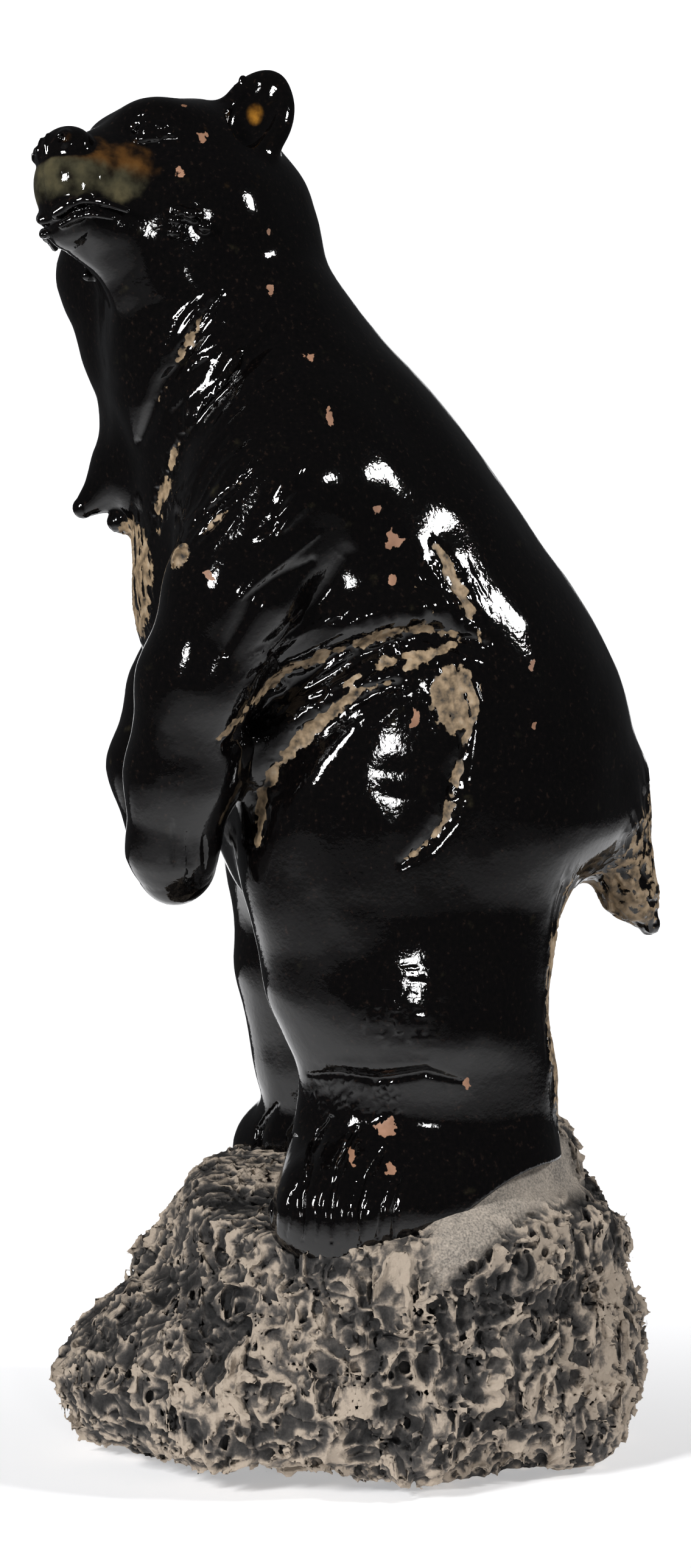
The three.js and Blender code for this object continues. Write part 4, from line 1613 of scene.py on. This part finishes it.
@dataclass(frozen=True)
class BlackGlaze:
    """Glossy black glaze, warm on the muzzle, scraped to bare clay along the folds.

    Attributes:
        black, warm, olive, amber, chip, bare: colours of its parts, from dark to light.
        glazed, unglazed: roughness of the glaze and of bare clay.
        index: refractive index of the glaze.
    """

    black: Stops = (
        (0.30, (0.0012, 0.0011, 0.0012)),
        (0.62, (0.0024, 0.0019, 0.0019)),
        (0.80, (0.020, 0.012, 0.009)),
    )
    warm: Stops = (
        (0.3, (0.016, 0.009, 0.004)),
        (0.5, (0.065, 0.029, 0.008)),
        (0.75, (0.135, 0.060, 0.014)),
    )
    olive: Stops = (
        (0.3, (0.012, 0.011, 0.007)),
        (0.52, (0.045, 0.041, 0.024)),
        (0.8, (0.10, 0.085, 0.045)),
    )
    amber: Stops = ((0.3, (0.10, 0.04, 0.006)), (0.7, (0.36, 0.16, 0.02)))
    chip: Stops = ((0.3, (0.20, 0.095, 0.05)), (0.7, (0.36, 0.19, 0.115)))
    bare: Stops = (
        (0.30, (0.012, 0.011, 0.010)),
        (0.42, (0.15, 0.105, 0.06)),
        (0.58, (0.33, 0.235, 0.14)),
        (0.80, (0.42, 0.34, 0.245)),
    )
    glazed: float = 0.045
    unglazed: float = 0.62
    index: float = 1.52

    def material(self) -> bpy.types.Material:
        """Makes the glaze.

        Returns:
            The material.
        """
        finish = Finish(Slot.GLAZE.value)
        ragged = finish.speckle(0.004, 4)
        cloud = finish.speckle(0.011, 6)
        colour = finish.ramp(finish.speckle(0.0022, 4), self.black)
        olive = finish.edge(finish.layer(Paint.OLIVE), cloud, 1.6, 0.1, 0.9)
        tinted = finish.mix(olive, finish.ramp(cloud, self.warm), finish.ramp(cloud, self.olive))
        colour = finish.mix(finish.edge(finish.layer(Paint.WARM), cloud, 1.7, 0.25, 1.1), colour, tinted)
        amber = finish.edge(finish.layer(Paint.AMBER), cloud, 0.6, 0.2, 0.9)
        colour = finish.mix(amber, colour, finish.ramp(ragged, self.amber))
        bare = finish.edge(finish.layer(Paint.BARE), ragged, 1.1, 0.50, 0.62)
        colour = finish.mix(bare, colour, finish.ramp(finish.speckle(0.005, 4), self.bare))
        chip = finish.edge(finish.layer(Paint.CHIP), ragged, 1.4, 0.55, 0.60)
        colour = finish.mix(chip, colour, finish.ramp(cloud, self.chip))
        finish.link(colour, finish.shader.inputs["Base Color"])
        dull = finish.math("MAXIMUM", bare, chip)
        rough = finish.add("ShaderNodeMapRange")
        rough.inputs["To Min"].default_value = self.glazed
        rough.inputs["To Max"].default_value = self.unglazed
        finish.link(dull, rough.inputs["Value"])
        finish.link(rough.outputs["Result"], finish.shader.inputs["Roughness"])
        peel = finish.bump(finish.speckle(0.0024, 3), 0.0001)
        finish.link(peel, finish.shader.inputs["Normal"])
        finish.shader.inputs["IOR"].default_value = self.index
        return finish.material


@dataclass(frozen=True)
class StainedClay:
    """Matt buff clay with charcoal stain left everywhere but on the crests.

    Attributes:
        torn, sandy: colours of the torn clay and of the smooth slope, from dark to light.
        rough, shine: roughness and specular level.
    """

    torn: Stops = (
        (0.14, (0.006, 0.0057, 0.0057)),
        (0.34, (0.028, 0.0258, 0.0245)),
        (0.48, (0.060, 0.054, 0.049)),
        (0.58, (0.135, 0.115, 0.097)),
        (0.76, (0.38, 0.315, 0.25)),
    )
    sandy: Stops = ((0.30, (0.16, 0.142, 0.124)), (0.48, (0.30, 0.265, 0.225)), (0.75, (0.46, 0.395, 0.33)))
    rough: float = 0.78
    shine: float = 0.35

    def material(self) -> bpy.types.Material:
        """Makes the clay.

        Returns:
            The material.
        """
        finish = Finish(Slot.CLAY.value)
        sand = finish.speckle(0.0011, 3)
        clean = finish.layer(Paint.CLEAN)
        clean = finish.sum(clean, finish.speckle(0.0035, 5), 0.42)
        clean = finish.sum(clean, finish.speckle(0.03, 4), 0.35)
        clean = finish.sum(clean, sand, 0.2)
        colour = finish.ramp(clean, self.torn)
        sandy = finish.ramp(finish.sum(sand, finish.speckle(0.02, 3), 0.7), self.sandy)
        colour = finish.mix(finish.layer(Paint.SMOOTH), colour, sandy)
        finish.link(colour, finish.shader.inputs["Base Color"])
        grain = finish.bump(sand, 0.0003)
        finish.link(finish.bump(finish.speckle(0.0035, 4), 0.0010, grain), finish.shader.inputs["Normal"])
        finish.shader.inputs["Roughness"].default_value = self.rough
        finish.shader.inputs["Specular IOR Level"].default_value = self.shine
        return finish.material


# ---- On the frame ----


def set_on_frame(pieces: Sequence[Piece]) -> Vector:
    """Moves the pieces so that the bear lies in its CAD box, and returns the move.

    Args:
        pieces: the finished pieces, the bear first.

    Returns:
        The move in metres.
    """
    low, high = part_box("bear")
    co = np.array([v.co for v in pieces[0].shown.data.vertices])
    middle = (low + high) / 2 - Vector((co.min(0) + co.max(0)) / 2)
    move = Vector((middle.x, middle.y, 0))
    for piece in pieces:
        piece.shown.location = move
    bpy.context.view_layer.update()
    log.info("pieces moved by %s mm", [round(v / MM, 2) for v in move])
    return move


# ---- Studio ----


@dataclass(frozen=True)
class Softbox:
    """A rectangular lamp that looks at the bear.

    Attributes:
        azimuth, elevation: direction it stands in, in degrees.
        distance: from the aim point, in metres.
        size: width and height in metres.
        power: watts.
        aim: height it looks at, in metres.
    """

    name: str
    azimuth: float
    elevation: float
    distance: float
    size: tuple[float, float]
    power: float
    aim: float = 0.38

    def build(self) -> bpy.types.Object:
        """Adds the lamp.

        Returns:
            The lamp.
        """
        lamp = bpy.data.lights.new(self.name, "AREA")
        lamp.shape = "RECTANGLE"
        lamp.size, lamp.size_y = self.size
        lamp.energy = self.power
        made = bpy.data.objects.new(self.name, lamp)
        bpy.context.scene.collection.objects.link(made)
        a, e = math.radians(self.azimuth), math.radians(self.elevation)
        toward = Vector((math.sin(a) * math.cos(e), -math.cos(a) * math.cos(e), math.sin(e)))
        made.location = Vector((0, 0, self.aim)) + self.distance * toward
        made.rotation_mode = "QUATERNION"
        made.rotation_quaternion = (-toward).to_track_quat("-Z", "Y")
        return made


SOFTBOXES = (
    Softbox("key_right", 158, 29, 2.3, (0.22, 0.24), 26),
    Softbox("key_left", 45, 22, 2.3, (0.38, 0.60), 52),
    Softbox("front_low", 95, 5, 3.2, (0.35, 0.35), 18),
)
# Painted pool of light on the floor: tones picked by distance from the pool's centre over the pool's reach,
# near white close in and dark grey far out.
PAPER_PAINTED_LIGHT_TONES = ((0.43, (0.90, 0.90, 0.91)), (0.60, (0.30, 0.30, 0.305)), (0.88, (0.05, 0.05, 0.052)))
PAINTED_POOL_CENTRE = (-0.6, 0, 0)
PAINTED_POOL_REACH = (2.0, 1.6, 1.0)
ROOM_GREY = (0.042, 0.043, 0.045)
BACKLIGHT = (1.25, 1.25, 1.26)


@dataclass(frozen=True)
class Studio:
    """A floor carrying a painted pool of light and a painted glow, soft lamps, a lit wall far behind the
    bear and the camera.

    Attributes:
        azimuth, elevation: the camera's direction from the bear, in degrees.
        distance: camera to aim point, in metres.
        lens: focal length for a 36 mm long side.
        aim: point in clay coordinates that the camera looks at, in metres.
        paper: near end, far end and half width of the floor, in metres.
        glow: where the floor's painted glow starts and is full, and its strength at both; the floor emits
            though it is no lamp.
        wall: radii of the lit wall patch's bright middle and faded rim, in degrees.
        wall_elevation: height of its middle, in degrees.
    """

    azimuth: float = 85
    elevation: float = 4.5
    distance: float = 2.0
    lens: float = 90.45
    aim: Place = (0, 0, 0.341)
    paper: Place = (1.6, -0.8, 1.6)
    glow: tuple[float, float, float, float] = (0.15, -0.7, 0.38, 1.15)
    wall: tuple[float, float] = (9.8, 16.0)
    wall_elevation: float = -1.6

    def floor(self) -> bpy.types.Object:
        """A sheet of paper with a painted pool of light, palest under and behind the bear and fading to
        dark grey further out; it also glows as painted light, though it is no lamp, more towards its far
        end.

        Returns:
            The floor.
        """
        near, far, half = self.paper
        corners = [(near, -half, 0), (near, half, 0), (far, half, 0), (far, -half, 0)]
        mesh = bpy.data.meshes.new("floor")
        mesh.from_pydata(corners, [], [(0, 1, 2, 3)])
        made = bpy.data.objects.new("floor", mesh)
        bpy.context.scene.collection.objects.link(made)
        made.rotation_euler.z = math.radians(self.azimuth - 90)
        paper = Finish("floor_paper_painted_light")
        place = paper.add("ShaderNodeTexCoord").outputs["Object"]
        from_centre = paper.add("ShaderNodeVectorMath", operation="SUBTRACT")
        from_centre.inputs[1].default_value = PAINTED_POOL_CENTRE
        share = paper.add("ShaderNodeVectorMath", operation="DIVIDE")
        share.inputs[1].default_value = PAINTED_POOL_REACH
        length = paper.add("ShaderNodeVectorMath", operation="LENGTH")
        paper.link(place, from_centre.inputs[0])
        paper.link(from_centre.outputs["Vector"], share.inputs[0])
        paper.link(share.outputs["Vector"], length.inputs[0])
        # Painted pool of light: the same tones colour the floor and its emission.
        colour = paper.ramp(length.outputs["Value"], PAPER_PAINTED_LIGHT_TONES)
        paper.link(colour, paper.shader.inputs["Base Color"])
        paper.link(colour, paper.shader.inputs["Emission Color"])
        # Painted light: the floor's emission rises towards its far end, so it glows though it is no lamp.
        split = paper.add("ShaderNodeSeparateXYZ")
        glow = paper.add("ShaderNodeMapRange", interpolation_type="SMOOTHSTEP")
        for name, value in zip(("From Min", "From Max", "To Min", "To Max"), self.glow):
            glow.inputs[name].default_value = value
        paper.link(place, split.inputs["Vector"])
        paper.link(split.outputs["X"], glow.inputs["Value"])
        paper.link(glow.outputs["Result"], paper.shader.inputs["Emission Strength"])
        paper.shader.inputs["Roughness"].default_value = 0.9
        mesh.materials.append(paper.material)
        return made

    def room(self) -> bpy.types.World:
        """A dim room with one lit patch of wall, low behind the bear.

        Returns:
            The world.
        """
        middle, rim = self.wall
        azimuth, elevation = math.radians(self.azimuth + 180), math.radians(self.wall_elevation)
        level = math.cos(elevation)
        toward = (math.sin(azimuth) * level, -math.cos(azimuth) * level, math.sin(elevation))
        world = bpy.data.worlds.new("room")
        world.use_nodes = True
        nodes, links = world.node_tree.nodes, world.node_tree.links
        place = nodes.new("ShaderNodeTexCoord")
        facing = nodes.new("ShaderNodeVectorMath")
        facing.operation = "DOT_PRODUCT"
        facing.inputs[1].default_value = toward
        patch = nodes.new("ShaderNodeMapRange")
        patch.interpolation_type = "SMOOTHSTEP"
        patch.inputs["From Min"].default_value = math.cos(math.radians(rim))
        patch.inputs["From Max"].default_value = math.cos(math.radians(middle))
        light = nodes.new("ShaderNodeMix")
        light.data_type = "RGBA"
        light.inputs[6].default_value = (*ROOM_GREY, 1)
        light.inputs[7].default_value = (*BACKLIGHT, 1)
        links.new(place.outputs["Generated"], facing.inputs[0])
        links.new(facing.outputs["Value"], patch.inputs["Value"])
        links.new(patch.outputs["Result"], light.inputs["Factor"])
        links.new(light.outputs[2], nodes["Background"].inputs["Color"])
        bpy.context.scene.world = world
        return world

    def camera(self, move: Vector) -> bpy.types.Object:
        """The camera, set off by the same move as the pieces.

        Args:
            move: how far the pieces were moved.

        Returns:
            The camera.
        """
        a, e = math.radians(self.azimuth), math.radians(self.elevation)
        back = Vector((math.sin(a) * math.cos(e), -math.cos(a) * math.cos(e), math.sin(e)))
        lens = bpy.data.cameras.new("camera")
        lens.sensor_width = 36
        lens.lens = self.lens
        lens.clip_start, lens.clip_end = 0.05, 50
        made = bpy.data.objects.new("camera", lens)
        bpy.context.scene.collection.objects.link(made)
        made.location = Vector(self.aim) + move + self.distance * back
        made.rotation_mode = "QUATERNION"
        made.rotation_quaternion = (-back).to_track_quat("-Z", "Y")
        bpy.context.scene.camera = made
        return made

    def build(self, move: Vector) -> None:
        """Sets up the whole studio.

        Args:
            move: how far the pieces were moved.
        """
        self.floor()
        self.room()
        for softbox in SOFTBOXES:
            softbox.build()
        bpy.context.scene.view_settings.view_transform = "Standard"
        self.camera(move)
        log.info("studio ready")


def main() -> None:
    """Models, dresses and lights the bear."""
    logging.basicConfig(level=logging.INFO, format="%(name)s: %(message)s")
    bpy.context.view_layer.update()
    coarseness = 1.0
    rock = Rock()
    pieces = [Bear(rock).build(coarseness), rock.build(coarseness)]
    move = set_on_frame(pieces)
    pieces[0].dress(BlackGlaze().material())
    pieces[1].dress(StainedClay().material())
    Studio().build(move)


if __name__ == "__main__":
    main()
